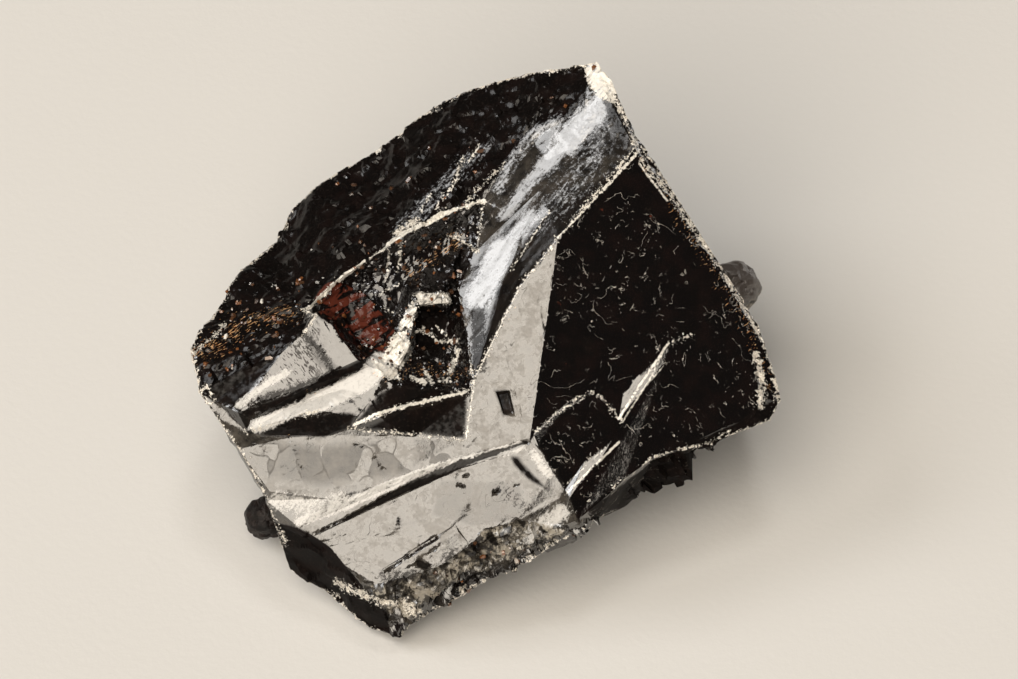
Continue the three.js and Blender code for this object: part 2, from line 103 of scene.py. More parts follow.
# Share of broken surface, of pale film and of matte black on each field; 1 or more leaves nothing else
ROUGHNESS = {"hollow": 0.7, "broken": 1.0, "foot": 0.15, "slope": 0.8, "flutes": 0.3, "ribs": 0.1,
             HIDDEN: 0.3}
FILM = {"left": 0.4, "middle": 0.5, "ribs": 0.1, "flutes": 0.35, "broken": 0.6}
DULLNESS = {"slope": 0.8, "foot": 1.2, "hollow": 0.3, "flutes": 0.25, HIDDEN: 0.15}
CRYSTAL_IOR = 2.05
MATTE_IOR = 1.1
LEFT_KNOB_IOR = 1.3
SLIGHT_ANGLE = 4.0                            # degrees below which an edge isn't a crease
HIDDEN_INSET = 0.5                            # millimetres by which the hidden sides' relief is sunk
HIDDEN_FADE = 2.2                             # millimetres from the rim over which that relief begins
FLOOR_FADE = (0.02, 1.2)                      # millimetres above the floor over which any relief begins
CRUMB_DEPTH = 0.08                            # millimetres that a crumbled edge has lost
GROOVE_DEPTH = 0.16                           # millimetres, for the dark lines
PIT_DEPTH = 0.22
HIDDEN_EDGE_REACH = -0.18                     # reach of the chips on creases between hidden faces
INNER_EDGE_REACH = -0.4                       # and on the broad side's own creases
NOWHERE = -9.0                                # millimetres inside a mark, for points far from any
FLOOR_SIZE = 6.0                              # metres
PAPER_IOR = 1.3
VIEW_CENTRE = np.array([1.47, 0.57, 0.0])     # what the camera aims at, [across, up, out]


class ShapeSettings(bpy.types.PropertyGroup):
    """Sizes of the surface's relief."""

    chip_width: FloatProperty(
        name="Chip Width", description="How far the chipped edges reach in from a sharp edge",
        default=0.00012, unit="LENGTH", precision=5)
    fracture_slope: FloatProperty(
        name="Fracture Slope", description="Steepness of the splinters in the broken fields", default=0.5)
    grains: IntProperty(name="Small Crystals", description="How many small crystals line the hollow",
                        default=170, min=0)
    seed: IntProperty(name="Seed", description="Start of the random numbers", default=7)


class ColourSettings(bpy.types.PropertyGroup):
    """Colours of the mineral and of the studio."""

    body: FloatVectorProperty(name="Crystal", description="Clean black crystal", subtype="COLOR",
                              default=(0.0045, 0.0035, 0.0032))
    red: FloatVectorProperty(name="Red Window", description="Light coming back through thin crystal",
                             subtype="COLOR", default=(0.13, 0.030, 0.017))
    chip: FloatVectorProperty(name="Chips", description="Crushed, whitened crystal", subtype="COLOR",
                              default=(0.90, 0.86, 0.78))
    film: FloatVectorProperty(name="Etch Film", description="Pale film on the etched faces",
                              subtype="COLOR", default=(0.38, 0.34, 0.28))
    rust: FloatVectorProperty(name="Rust", description="Brown flecks in pits", subtype="COLOR",
                              default=(0.20, 0.075, 0.025))
    grey_brown: FloatVectorProperty(name="Grey-Brown", description="Right side crystal", subtype="COLOR",
                                    default=(0.30, 0.265, 0.215))
    floor: FloatVectorProperty(name="Floor", description="Pale floor", subtype="COLOR",
                               default=(0.70, 0.69, 0.67))


class StudioSettings(bpy.types.PropertyGroup):
    """Camera and lights."""

    distance: FloatProperty(name="Camera Distance", description="From the broad side's middle",
                            default=0.9, unit="LENGTH")
    view_width: FloatProperty(name="View Width", description="Width of the view at the crystal",
                              default=0.06787, unit="LENGTH", precision=5)
    key_radiance: FloatProperty(name="Key Brightness", description="Warm soft box", default=4.7)
    cool_radiance: FloatProperty(name="Cool Brightness", description="Cool soft box", default=5.5)
    surround: FloatProperty(name="Surround", description="Brightness of the dim studio", default=0.012)


# ---------------------------------------------------------------------------------------------
# Frames of reference


def to_side(points):
    """Part-frame metres to [across, up, out] millimetres."""
    return (np.asarray(points) * MM - SIDE_MIDDLE) @ SIDE_AXES


def to_part(points):
    """[across, up, out] millimetres to part-frame metres."""
    return (np.asarray(points) @ SIDE_AXES.T + SIDE_MIDDLE) / MM


# ---------------------------------------------------------------------------------------------
# Repeatable noise on points


def lattice(cells, seed):
    """One repeatable random number from 0 to 1 for each whole-number cell, by mixing its three numbers."""
    c = cells.astype(np.int64)
    h = c[..., 0] * 374761393 + c[..., 1] * 668265263 + c[..., 2] * 2147483629 + seed * 974634777
    h = (h ^ (h >> 13)) & 0xFFFFFFFF
    h = (h * 1274126177) & 0xFFFFFFFF
    h = (h ^ (h >> 16)) & 0xFFFFFFFF
    return h / 4294967296.0


def smooth_noise(points, size, seed):
    """Value noise from -1 to 1: random numbers at the corners of cubes of the given size, blended
    with the smooth curve 3t^2 - 2t^3 along each axis."""
    p = points / size
    base = np.floor(p)
    t = p - base
    t = t * t * (3 - 2 * t)
    total = np.zeros(len(points))
    for corner in np.ndindex(2, 2, 2):
        weight = np.prod(np.where(np.array(corner) == 1, t, 1 - t), axis=1)
        total += weight * lattice(base + np.array(corner), seed)
    return total * 2 - 1


def layered_noise(points, size, seed, layers=3):
    """Smooth noise summed over layers, each half the size and half the height of the one before."""
    total = np.zeros(len(points))
    for layer in range(layers):
        total += smooth_noise(points, size / 2**layer, seed + layer) / 2**layer
    return total


def splinters(points, size, slope, seed):
    """Height of a splintered break: space is split into cells round scattered points, and each cell
    is a plane through its own point, tilted in a random direction by the given slope."""
    p = points / size
    base = np.floor(p)
    best = np.full(len(points), np.inf)
    height = np.zeros(len(points))
    for offset in np.ndindex(3, 3, 3):
        cell = base + np.array(offset) - 1
        centre = cell + np.stack([lattice(cell, seed + i) for i in range(3)], axis=1)
        tilt = np.stack([lattice(cell, seed + 3 + i) for i in range(3)], axis=1) * 2 - 1
        away = p - centre
        distance = np.einsum("ij,ij->i", away, away)
        nearer = distance < best
        best = np.where(nearer, distance, best)
        level = lattice(cell, seed + 6) - 0.5
        height = np.where(nearer, np.einsum("ij,ij->i", away, tilt) + 0.5 * level, height)
    return height * slope * size


def terraces(height, step, steepness=6.0):
    """Rounds a height to steps: whole steps, with a short steep rise between one and the next."""
    scaled = height / step
    whole = np.floor(scaled)
    part = np.clip((scaled - whole - 0.5) * steepness + 0.5, 0, 1)
    return (whole + part) * step


def smoothstep(low, high, values):
    """0 below low, 1 above high, and the smooth curve 3t^2 - 2t^3 between."""
    t = np.clip((values - low) / (high - low), 0, 1)
    return t * t * (3 - 2 * t)


# ---------------------------------------------------------------------------------------------
# Triangle meshes as arrays


def read_node(name):
    """Corner points and triangles of a CAD node's own mesh."""
    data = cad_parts[name].data
    data.calc_loop_triangles()
    points = np.empty(len(data.vertices) * 3)
    data.vertices.foreach_get("co", points)
    tris = np.empty(len(data.loop_triangles) * 3, dtype=np.int64)
    data.loop_triangles.foreach_get("vertices", tris)
    return points.reshape(-1, 3), tris.reshape(-1, 3)


def weld(points, tris, tolerance=1e-3):
    """Points closer than the tolerance become one, and triangles with no area are dropped."""
    _, first, index = np.unique(np.round(points / tolerance).astype(np.int64), axis=0, return_index=True,
                                return_inverse=True)
    tris = index.ravel()[tris]
    whole = (tris[:, 0] != tris[:, 1]) & (tris[:, 1] != tris[:, 2]) & (tris[:, 2] != tris[:, 0])
    return points[first], tris[whole]


def edges_of(tris, count):
    """Each edge once as a sorted pair, and for each triangle the numbers of its three edges."""
    pairs = np.sort(tris[:, [0, 1, 1, 2, 2, 0]].reshape(-1, 2), axis=1)
    key, index = np.unique(pairs[:, 0] * count + pairs[:, 1], return_inverse=True)
    return np.stack([key // count, key % count], axis=1), index.reshape(-1, 3)


def halve_long_edges(points, tris, group, limits):
    """Halves every edge that is longer than the mean limit of its two ends, and cuts each triangle
    into two, three or four to match. Triangles keep their group, and new points the mean limit."""
    edges, of_tri = edges_of(tris, len(points))
    ends = points[edges]
    length = np.linalg.norm(ends[:, 0] - ends[:, 1], axis=1)
    limit = limits[edges].mean(axis=1)
    long_edge = length > limit
    if not long_edge.any():
        return points, tris, group, limits, False
    new = np.full(len(edges), -1)
    new[long_edge] = len(points) + np.arange(long_edge.sum())
    points = np.vstack([points, ends[long_edge].mean(axis=1)])
    limits = np.concatenate([limits, limit[long_edge]])
    mid = new[of_tri]
    cut = mid >= 0
    parts, groups = [tris[cut.sum(1) == 0]], [group[cut.sum(1) == 0]]
    for turn in range(3):
        order = [(turn + i) % 3 for i in range(3)]
        t, m, c = tris[:, order], mid[:, order], cut[:, order]
        one = c[:, 0] & ~c[:, 1] & ~c[:, 2]
        two = c[:, 0] & c[:, 1] & ~c[:, 2]
        (a, b, d), (ab, bd, _) = t.T, m.T
        for mask, rows in ((one, [(a, ab, d), (ab, b, d)]), (two, [(ab, b, bd), (a, ab, bd), (a, bd, d)])):
            parts += [np.stack([x[mask] for x in row], axis=1) for row in rows]
            groups += [group[mask]] * len(rows)
    full = cut.all(axis=1)
    (a, b, d), (ab, bd, da) = tris[full].T, mid[full].T
    for row in ((a, ab, da), (ab, b, bd), (da, bd, d), (ab, bd, da)):
        parts.append(np.stack(row, axis=1))
        groups.append(group[full])
    return points, np.vstack(parts), np.concatenate(groups), limits, True


def cut_finer(points, tris, group, limits):
    """Halves edges again and again until none is longer than its limit."""
    going = True
    while going:
        points, tris, group, limits, going = halve_long_edges(points, tris, group, limits)
    return points, tris, group


def face_normals(points, tris):
    """Area-weighted normals: the cross product of two sides of each triangle."""
    a, b, c = (points[tris[:, i]] for i in range(3))
    return np.cross(b - a, c - a)


def unit(vectors):
    """Vectors at length one."""
    return vectors / np.maximum(np.linalg.norm(vectors, axis=1, keepdims=True), 1e-12)


def point_normals(points, tris):
    """Mean of the normals of the triangles round each point, weighted by area."""
    normal = face_normals(points, tris)
    total = np.zeros_like(points)
    for axis in range(3):
        for corner in range(3):
            total[:, axis] += np.bincount(tris[:, corner], normal[:, axis], len(points))
    return unit(total)


def creases(points, tris, group):
    """Ends, angle in degrees, convexity and number of hidden sides of every edge where two triangles
    meet at more than a slight angle."""
    edges, of_tri = edges_of(tris, len(points))
    order = np.argsort(of_tri.ravel(), kind="stable")
    owner = (order // 3).reshape(-1, 2)
    normal = unit(face_normals(points, tris))
    cosine = np.einsum("ij,ij->i", normal[owner[:, 0]], normal[owner[:, 1]])
    angle = np.degrees(np.arccos(np.clip(cosine, -1, 1)))
    far = tris[owner[:, 1]]
    opposite = far.sum(axis=1) - edges.sum(axis=1)
    below = np.einsum("ij,ij->i", points[opposite] - points[edges[:, 0]], normal[owner[:, 0]]) < 0
    keep = angle > SLIGHT_ANGLE
    hidden = (group[owner] == FIELD_NAMES.index(HIDDEN)).sum(axis=1)
    return points[edges[keep]], angle[keep], below[keep], hidden[keep]


def distance_to_segments(points, segments, reach=None):
    """Distance from each point to the nearest segment. With reach, each segment's own reach is taken
    off its distance."""
    best = np.full(len(points), np.inf)
    for number, (a, b) in enumerate(segments):
        whole = b - a
        t = np.clip((points - a) @ whole / max(whole @ whole, 1e-12), 0, 1)
        away = np.linalg.norm(points - a - t[:, None] * whole, axis=1)
        if reach is not None:
            away = away - reach[number]
        best = np.minimum(best, away)
    return best


def inside(outline, points):
    """Whether each point is inside an outline, by counting the sides that a ray to the right crosses."""
    corners = np.array(outline)
    following = np.roll(corners, -1, axis=0)
    x, y = points[:, :1], points[:, 1:2]
    spans = (corners[:, 1] > y) != (following[:, 1] > y)
    rise = following[:, 1] - corners[:, 1]
    share = (y - corners[:, 1]) / np.where(rise == 0, 1e-9, rise)
    crossing = corners[:, 0] + share * (following[:, 0] - corners[:, 0])
    return ((spans & (x < crossing)).sum(axis=1) % 2) == 1


def field_of_triangles(points, tris):
    """Number of the field that each triangle of the bare crystal belongs to."""
    middle = points[tris].mean(axis=1)
    facing = unit(face_normals(points, tris))[:, 2]
    found = np.full(len(tris), FIELD_NAMES.index(HIDDEN))
    for number, outline in reversed(list(enumerate(FIELDS.values()))):
        found[inside(outline, middle) & (facing > 0.02)] = number
    return found


def field_weights(tris, group, count):
    """For each point, the share of the triangles round it that belong to each field."""
    weights = np.zeros((len(FIELD_NAMES), count))
    for number in range(len(FIELD_NAMES)):
        mask = group == number
        for corner in range(3):
            weights[number] += np.bincount(tris[mask, corner], minlength=count)
    return dict(zip(FIELD_NAMES, weights / np.maximum(weights.sum(axis=0), 1)))


def relax(points, tris, rounds):
    """Moves each point half way to the mean of its neighbours, again and again."""
    edges, _ = edges_of(tris, len(points))
    both = np.concatenate([edges, edges[:, ::-1]])
    degree = np.bincount(both[:, 0], minlength=len(points))
    for _ in range(rounds):
        for axis in range(3):
            mean = np.bincount(both[:, 0], points[both[:, 1], axis], len(points)) / degree
            points[:, axis] += 0.5 * (mean - points[:, axis])
    return points


def write_piece(name, points, tris, attributes=(), sharp_angle=None):
    """A new object from side-frame millimetres, with its triangles, point attributes and sharp edges."""
    data = bpy.data.meshes.new(name)
    data.vertices.add(len(points))
    data.vertices.foreach_set("co", to_part(points).ravel())
    data.loops.add(tris.size)
    data.loops.foreach_set("vertex_index", tris.ravel().astype(np.int32))
    data.polygons.add(len(tris))
    data.polygons.foreach_set("loop_start", np.arange(0, tris.size, 3, dtype=np.int32))
    data.update(calc_edges=True)
    for key, values in dict(attributes).items():
        layer = data.attributes.new(key, "FLOAT", "POINT")
        layer.data.foreach_set("value", values.astype(np.float32))
    data.polygons.foreach_set("use_smooth", np.full(len(tris), sharp_angle is not None))
    if sharp_angle is not None:
        data.set_sharp_from_angle(angle=math.radians(sharp_angle))
    piece = bpy.data.objects.new(name, data)
    bpy.context.scene.collection.objects.link(piece)
    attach(piece, BODY)
    return piece


# ---------------------------------------------------------------------------------------------
# Shader maths


def rgba(colour):
    """A colour property with its alpha, or a socket as it is."""
    return colour if isinstance(colour, bpy.types.NodeSocket) else (*colour, 1.0)


class Value:
    """A number socket that can be used in arithmetic; each operator adds one Math node."""

    def __init__(self, shader, socket):
        self.shader = shader
        self.socket = socket

    def math(self, operation, *others):
        inputs = dict(enumerate([self, *others]))
        return self.shader.node("ShaderNodeMath", {"operation": operation}, inputs)

    def __add__(self, other):
        return self.math("ADD", other)

    def __mul__(self, other):
        return self.math("MULTIPLY", other)

    def __sub__(self, other):
        return self.math("SUBTRACT", other)

    def __rsub__(self, other):
        return self.shader.node("ShaderNodeMath", {"operation": "SUBTRACT"}, {0: other, 1: self})

    __radd__ = __add__
    __rmul__ = __mul__

    def size(self):
        """Distance from zero."""
        return self.math("ABSOLUTE")

    def least(self, other):
        """The smaller of two numbers."""
        return self.math("MINIMUM", other)

    def most(self, other):
        """The larger of two numbers."""
        return self.math("MAXIMUM", other)

    def above(self, threshold, softness):
        """0 below the threshold and 1 above it, with a soft edge of the given width."""
        settings = {"interpolation_type": "SMOOTHSTEP"}
        inputs = {"Value": self, "From Min": threshold - softness / 2, "From Max": threshold + softness / 2}
        return self.shader.node("ShaderNodeMapRange", settings, inputs)

    def below(self, threshold, softness):
        """1 below the threshold and 0 above it, with a soft edge of the given width."""
        return 1 - self.above(threshold, softness)


class Shader:
    """A material under construction."""

    def __init__(self, name):
        self.material = bpy.data.materials.new(name)
        self.material.use_nodes = True
        self.tree = self.material.node_tree
        self.tree.nodes.clear()
        self.place = self.scaled(self.node("ShaderNodeTexCoord", {}, {}, "Object"), MM)

    def node(self, kind, settings, inputs, output=0):
        """Adds a node: its settings first, then the values or links of its sockets. Returns one output."""
        made = self.tree.nodes.new(kind)
        for key, value in settings.items():
            setattr(made, key, value)
        for key, value in inputs.items():
            socket = made.inputs[key]
            if isinstance(value, Value):
                value = value.socket
            if isinstance(value, bpy.types.NodeSocket):
                self.tree.links.new(value, socket)
            else:
                socket.default_value = value
        out = made.outputs[output]
        return Value(self, out) if out.type == "VALUE" else out

    def attribute(self, name):
        """A number that the mesh holds at its points."""
        settings = {"attribute_type": "GEOMETRY", "attribute_name": name}
        return self.node("ShaderNodeAttribute", settings, {}, "Fac")

    def vectors(self, operation, first, second):
        """Two vectors put together by one Vector Math node."""
        return self.node("ShaderNodeVectorMath", {"operation": operation}, {0: first, 1: second})

    def scaled(self, vector, amount):
        """A vector times a number."""
        return self.node("ShaderNodeVectorMath", {"operation": "SCALE"}, {0: vector, "Scale": amount})

    def grain(self, degrees, squeeze):
        """Millimetre place in the broad side's frame, squeezed along a grain at an angle to across."""
        rotation = (FACING - math.pi / 2, 0, -math.radians(degrees))
        turned = self.node("ShaderNodeVectorRotate", {"rotation_type": "EULER_XYZ"},
                           {"Vector": self.place, "Rotation": rotation})
        return self.vectors("MULTIPLY", turned, (squeeze, 1.6, 1.0))

    def noise(self, scale, detail=2.0, place=None, distortion=0.0, shift=None, output="Fac"):
        """Smooth noise, at a place that may be shifted so that no two patterns match."""
        place = self.place if place is None else place
        if shift is not None:
            place = self.vectors("ADD", place, shift)
        inputs = {"Vector": place, "Scale": scale, "Detail": detail, "Distortion": distortion}
        return self.node("ShaderNodeTexNoise", {}, inputs, output)

    def cells(self, scale, output="Distance", feature="F1", place=None):
        """Cells round scattered points: by default, the distance to the nearest one."""
        inputs = {"Vector": self.place if place is None else place, "Scale": scale}
        return self.node("ShaderNodeTexVoronoi", {"feature": feature}, inputs, output)

    def pushed(self, scale, amount):
        """Millimetre place pushed about by a soft noise."""
        push = self.noise(scale, 1.0, output="Color")
        return self.vectors("ADD", self.place, self.scaled(push, amount))

    def hairlines(self, scale, width, shift, share, detail=1.5):
        """Thin crooked scratches: where a noise crosses its middle, broken up by a second noise."""
        ridge = (self.noise(scale, detail, distortion=0.6, shift=shift) - 0.5).size().below(width, width)
        broken = self.noise(scale * 1.7, 1.0, shift=shift[::-1]).above(share, 0.04)
        return ridge * broken

    def blend(self, factor, first, second):
        """The first colour where the factor is 0 and the second where it is 1."""
        settings = {"data_type": "RGBA", "clamp_factor": True}
        return self.node("ShaderNodeMix", settings, {0: factor, 6: rgba(first), 7: rgba(second)}, 2)

    def bump(self, height, depth, under=None):
        """Bump of the given depth in millimetres, on top of another normal."""
        inputs = {"Distance": depth / MM, "Height": height}
        if under is not None:
            inputs["Normal"] = under
        return self.node("ShaderNodeBump", {}, inputs)

    def principled(self, colour, roughness, normal, ior):
        """A principled shader; its index of refraction is the same all over."""
        inputs = {"Base Color": colour, "Roughness": roughness, "IOR": ior, "Normal": normal}
        return self.node("ShaderNodeBsdfPrincipled", {}, inputs)

    def finish(self, shader):
        """Ends the tree in the given shader and returns the material."""
        out = self.tree.nodes.new("ShaderNodeOutputMaterial")
        self.tree.links.new(shader, out.inputs["Surface"])
        return self.material

    def surface(self, *parts):
        """A whole material of one principled shader."""
        return self.finish(self.principled(*parts))


# ---------------------------------------------------------------------------------------------
# Colours beside those of the settings

WARM_BLACK = (0.011, 0.006, 0.005)
SEAM_BLACK = (0.012, 0.01, 0.009)
MATTE_BROWN = (0.03, 0.022, 0.018)
KNOB_BLACK = (0.02, 0.014, 0.012)
KNOB_BROWN = (0.075, 0.058, 0.047)
HONEY_BROWN = (0.09, 0.042, 0.02)
CREAM = (0.50, 0.44, 0.36)
CRUSHED_GREY = (0.32, 0.29, 0.24)
DARK_RUST = (0.34, 0.12, 0.035)
SANDY_RUST = (0.75, 0.50, 0.26)
# Tints of the painted highlights: warm elsewhere, cool on the flutes and the slope
WARM_HIGHLIGHT_PAINT = (0.60, 0.585, 0.56)
COOL_HIGHLIGHT_PAINT = (0.53, 0.555, 0.60)
FLOOR_SHADE = (0.74, 0.73, 0.71)


# ---------------------------------------------------------------------------------------------
# The crystal's own marks, with painted glints among them, as [across, up] corners in millimetres, each with
# its reach: how far the mark goes to each side of its line before noise frays it. Below 0, it only shows
# where the noise is high.

RIDGE = [(4.7, 7.3), (2.2, 4.1), (0.9, 1.5), (-0.8, -2.0), (-1.4, -6.1)]
HOLLOW_RIM = [(-6.3, 7.1), (-3.0, 9.0), (-0.2, 9.8)]

CHIP_LINES = [
    ([(9.8, 13.3), (4.7, 7.3)], 0.05), (RIDGE, 0.02),
    ([(7.6, 19.0), (8.2, 17.3)], 0.3), ([(8.2, 17.3), (9.6, 14.4), (10.3, 12.9)], 0.12),     # apex
    ([(10.2, 12.6), (12.1, 10.3), (13.5, 8.2), (15.3, 5.7), (17.4, 2.2)], 0.12),            # right rim
    ([(17.4, 2.2), (18.6, 0.1), (19.2, -1.8), (19.4, -3.5)], 0.15),
    ([(17.9, -0.4), (18.3, -2.2), (18.2, -3.9)], 0.24),                                     # chipped patch
    ([(8.3, -9.3), (10.9, -7.4), (12.3, -6.8), (15.0, -6.3), (16.1, -5.5)], 0.02),          # lower rim
    ([(5.7, -3.6), (6.9, -2.9), (7.7, -3.4), (8.9, -4.8)], 0.06),
    ([(3.2, -5.6), (5.5, -3.7)], 0.03),
    ([(12.3, 0.4), (13.6, 0.9)], 0.06),
    ([(-19.1, -3.2), (-17.3, -6.0), (-15.4, -9.2), (-13.4, -12.9)], 0.1),                   # left rim
    ([(-12.2, 2.4), (-9.4, 4.9), (-6.3, 7.1)], 0.05), (HOLLOW_RIM, 0.07),
    ([(-5.9, 7.6), (-4.8, 8.4)], 0.26),
    # Painted glints on the slope, drawn as a chipped line
    ([(-3.4, 9.3), (-2.2, 10.6), (-1.6, 12.9)], 0.05),
    ([(-8.6, -5.0), (-5.5, -3.85), (-1.4, -2.9)], 0.04), ([(-9.1, -5.3), (-1.4, -6.1)], 0.04),  # ribs
    ([(-10.0, -15.6), (-8.0, -16.6), (-5.6, -16.9), (-4.6, -17.4)], 0.2),                   # foot
    ([(-17.6, 1.6), (-19.3, -0.5)], 0.1),
]
# Whitened marks, with painted glints on the slope among them
PALE_AND_GLINT_LINES = [
    ([(12.1, 0.4), (10.2, -2.4), (8.75, -4.7)], 0.07), ([(12.0, 0.3), (10.8, -2.1), (9.0, -4.9)], 0.04),
    ([(12.0, -0.9), (9.9, -3.3)], 0.02), ([(10.1, 12.3), (11.2, 10.8), (12.0, 9.8)], 0.06),
    ([(10.6, 9.0), (10.9, 7.5), (10.3, 6.1)], 0.0), ([(10.6, 11.4), (11.5, 11.2)], 0.0),
    ([(8.8, -6.2), (5.3, -9.6)], 0.07), ([(8.0, -6.5), (5.3, -9.0)], 0.03),
    ([(-4.6, 1.2), (-3.7, 0.9), (-3.2, 0.4), (-1.9, 0.5)], 0.09), ([(-3.3, 1.4), (-2.6, 0.7)], 0.05),
    ([(-2.0, -0.1), (-2.2, -1.0), (-2.5, -1.7)], 0.16), ([(-5.0, -1.9), (-4.2, -2.3)], 0.14),
    ([(-4.1, -1.7), (-3.6, -2.4)], 0.1), ([(-3.2, -2.1), (-2.4, -2.2)], 0.07),
    ([(-6.5, 6.5), (-6.7, 4.5)], 0.04), ([(-5.7, 7.1), (-5.9, 5.1)], 0.05),
    ([(-0.3, 9.6), (-0.6, 7.2)], 0.04), ([(-7.2, 3.6), (-6.0, 4.2), (-5.2, 4.9)], 0.02),
    ([(-6.9, 2.6), (-6.0, 2.3)], 0.02), ([(4.2, 9.2), (1.6, 5.2)], 0.02),
    # Painted glints on the slope: this line and the next
    ([(-1.3, 12.6), (-0.6, 13.6)], 0.06), ([(-7.3, 13.1), (-7.1, 13.3)], 0.12),
    ([(-2.6, 10.1), (-1.9, 11.2)], 0.06), ([(-4.4, 9.2), (-3.7, 10.2)], 0.05),
]
RUST_LINES = [
    ([(-19.3, -0.6), (-16.5, 1.5), (-13.2, 2.3)], 1.0),
    ([(-7.0, -1.6), (-4.0, -1.4), (-1.6, -1.8)], 0.6),
    ([(-5.0, 5.2), (-2.0, 7.0)], 0.8),
    ([(10.4, 12.4), (13.3, 8.0), (17.2, 1.8), (18.9, -2.6)], 0.5),
    ([(-11.5, -2.9), (-11.1, -3.2)], 0.3),
    ([(-13.2, -5.9), (-12.4, -7.0)], 0.15),
    ([(0.9, 1.0), (2.0, 2.6)], 0.2),
]
RED_LINES = [
    ([(-10.2, 3.2), (-8.9, 2.6), (-7.4, 0.9)], 1.2),
    ([(4.75, 3.0), (5.0, 2.4)], 0.05),
    ([(6.6, 0.5), (7.0, -0.3)], 0.06),
    ([(10.7, 9.2), (11.0, 8.6)], 0.04),
    ([(7.5, 9.4), (7.7, 9.0)], 0.04),
    ([(4.9, -0.7), (5.3, -1.0)], 0.03),
]
# Grooves, carved in and painted matte black as painted shade
DARK_LINES = [
    ([(-6.7, -14.9), (-5.2, -13.8)], 0.02), ([(-5.2, -13.8), (-3.4, -12.6)], 0.09),
    ([(-5.2, -14.6), (-3.0, -13.1)], 0.0),
    ([(-11.4, -12.3), (-9.3, -11.3)], 0.03), ([(-9.3, -11.3), (-7.2, -10.2)], 0.11),
    ([(-7.2, -10.2), (-5.0, -9.1)], 0.2), ([(-5.0, -9.1), (-1.6, -7.6)], 0.28),
    ([(-1.6, -7.6), (0.6, -6.9)], 0.18), ([(0.6, -6.9), (2.7, -6.2)], 0.1),
    ([(-13.1, -5.9), (-12.6, -7.2), (-12.2, -8.0)], -0.04),
    ([(-9.3, -6.2), (-8.2, -6.6)], -0.02),
    ([(-7.5, -7.0), (-6.8, -8.0)], -0.03),
]
# Pits, carved in and painted matte black as painted shade
PITS = [([(0.5, -9.6), (0.7, -9.5)], 0.07), ([(-1.5, -8.5), (-1.2, -8.4)], 0.03),
        ([(-1.8, -9.1), (-1.5, -9.2)], 0.03), ([(1.9, -9.2), (2.1, -9.1)], 0.02),
        ([(2.0, -11.6), (2.4, -11.8)], 0.2), ([(3.6, -12.1), (3.9, -12.3)], 0.16),
        ([(0.2, -12.4), (0.5, -12.9)], 0.2), ([(-4.5, -14.3), (-4.0, -14.5)], 0.2)]

# Whitened patches: outline in millimetres and the most it counts as being inside
PALE_PATCHES = [
    ([(6.4, 18.8), (7.7, 19.1), (8.3, 17.9), (8.7, 16.2), (7.5, 16.7), (6.7, 17.5)], 0.15),
    ([(-6.1, 1.0), (-5.4, 1.2), (-5.0, -0.2), (-5.7, -1.4), (-7.0, -0.8), (-6.6, 0.1)], 0.25),
    ([(-5.9, 1.4), (-5.1, 1.2), (-4.6, 2.5), (-4.9, 3.1), (-5.4, 2.5)], 0.12),
    ([(-4.9, 3.7), (-2.6, 3.6), (-2.4, 3.0), (-3.4, 2.9), (-4.5, 2.8)], 0.12),
    ([(-7.6, -0.9), (-6.0, -1.3), (-5.7, -2.2), (-7.1, -1.9)], 0.15),
]

# Painted highlights along the ridges and the hollow's rim, as thin bright lines, with their reach
RIDGE_HIGHLIGHT_LINES = [
    ([(10.2, 13.2), (7.6, 10.4)], 0.1), ([(7.6, 10.4), (4.75, 7.35)], 0.06),
    (RIDGE, 0.03), ([(-11.9, 2.6), (-9.4, 4.9), (-6.3, 7.1)], 0.13), (HOLLOW_RIM, 0.15),
    ([(-0.2, 9.8), (0.3, 9.6)], 0.04),
    ([(-8.8, -5.1), (-7.4, -4.4), (-5.5, -3.85), (-1.4, -2.9)], 0.10),
    ([(3.1, -5.8), (4.1, -4.6), (5.6, -3.6)], 0.02),
]

# Painted highlights: soft silvery strokes that stand in for reflections of the lights. Corners, reach of
# the full strength and width of the soft edge, all in millimetres, and the strength
PAINTED_SHEENS = [
    ([(7.1, 15.7), (5.4, 13.8)], 0.3, 1.1, 1.0), ([(5.4, 13.8), (3.8, 12.1)], 0.08, 0.95, 0.9),
    ([(3.8, 12.1), (2.5, 10.6), (1.2, 8.8)], 0.0, 0.8, 0.8),
    ([(4.9, 15.2), (2.9, 14.1), (1.5, 12.2), (0.7, 10.5)], 0.1, 0.6, 0.5),
    ([(7.6, 14.6), (6.9, 12.4), (5.5, 10.6), (3.9, 8.9), (2.6, 8.2)], 0.2, 1.4, 0.3),
    ([(9.6, 13.0), (6.9, 9.9), (4.9, 7.7)], 0.0, 0.7, 0.18),
    ([(7.1, 19.0), (7.6, 17.6), (7.8, 16.4)], 0.3, 0.5, 0.9),
    ([(3.0, 8.9), (1.0, 6.5)], 0.1, 0.8, 0.72), ([(1.0, 6.6), (0.2, 4.9), (-0.6, 3.2)], 0.3, 0.9, 0.82),
    ([(-14.0, -10.1), (-11.1, -10.6), (-9.6, -10.2)], 0.2, 0.9, 0.62),
    ([(-12.5, -11.5), (-9.8, -10.6), (-7.1, -9.4), (-3.8, -8.1), (-0.5, -7.25), (2.2, -6.5)],
     0.22, 0.25, 0.72),
    ([(-15.2, -5.2), (-12.5, -4.0), (-10.1, -3.3)], 0.2, 0.5, 0.9),
    ([(-11.5, -3.7), (-9.6, -2.9), (-7.9, -2.0), (-7.1, -1.0)], 0.45, 0.5, 1.0),
    ([(-16.4, -3.8), (-15.0, -2.6), (-13.3, -1.6)], 0.05, 0.45, 0.85),
    ([(-5.8, 7.9), (-3.1, 10.4), (-1.3, 12.7)], 0.1, 0.9, 0.35),
    ([(-2.2, 12.0), (0.0, 13.4)], 0.0, 0.7, 0.35), ([(3.0, -6.9), (4.1, -8.4)], 0.1, 0.4, 0.75),
    ([(2.8, -12.3), (4.9, -10.9)], 0.25, 0.7, 0.72),
]
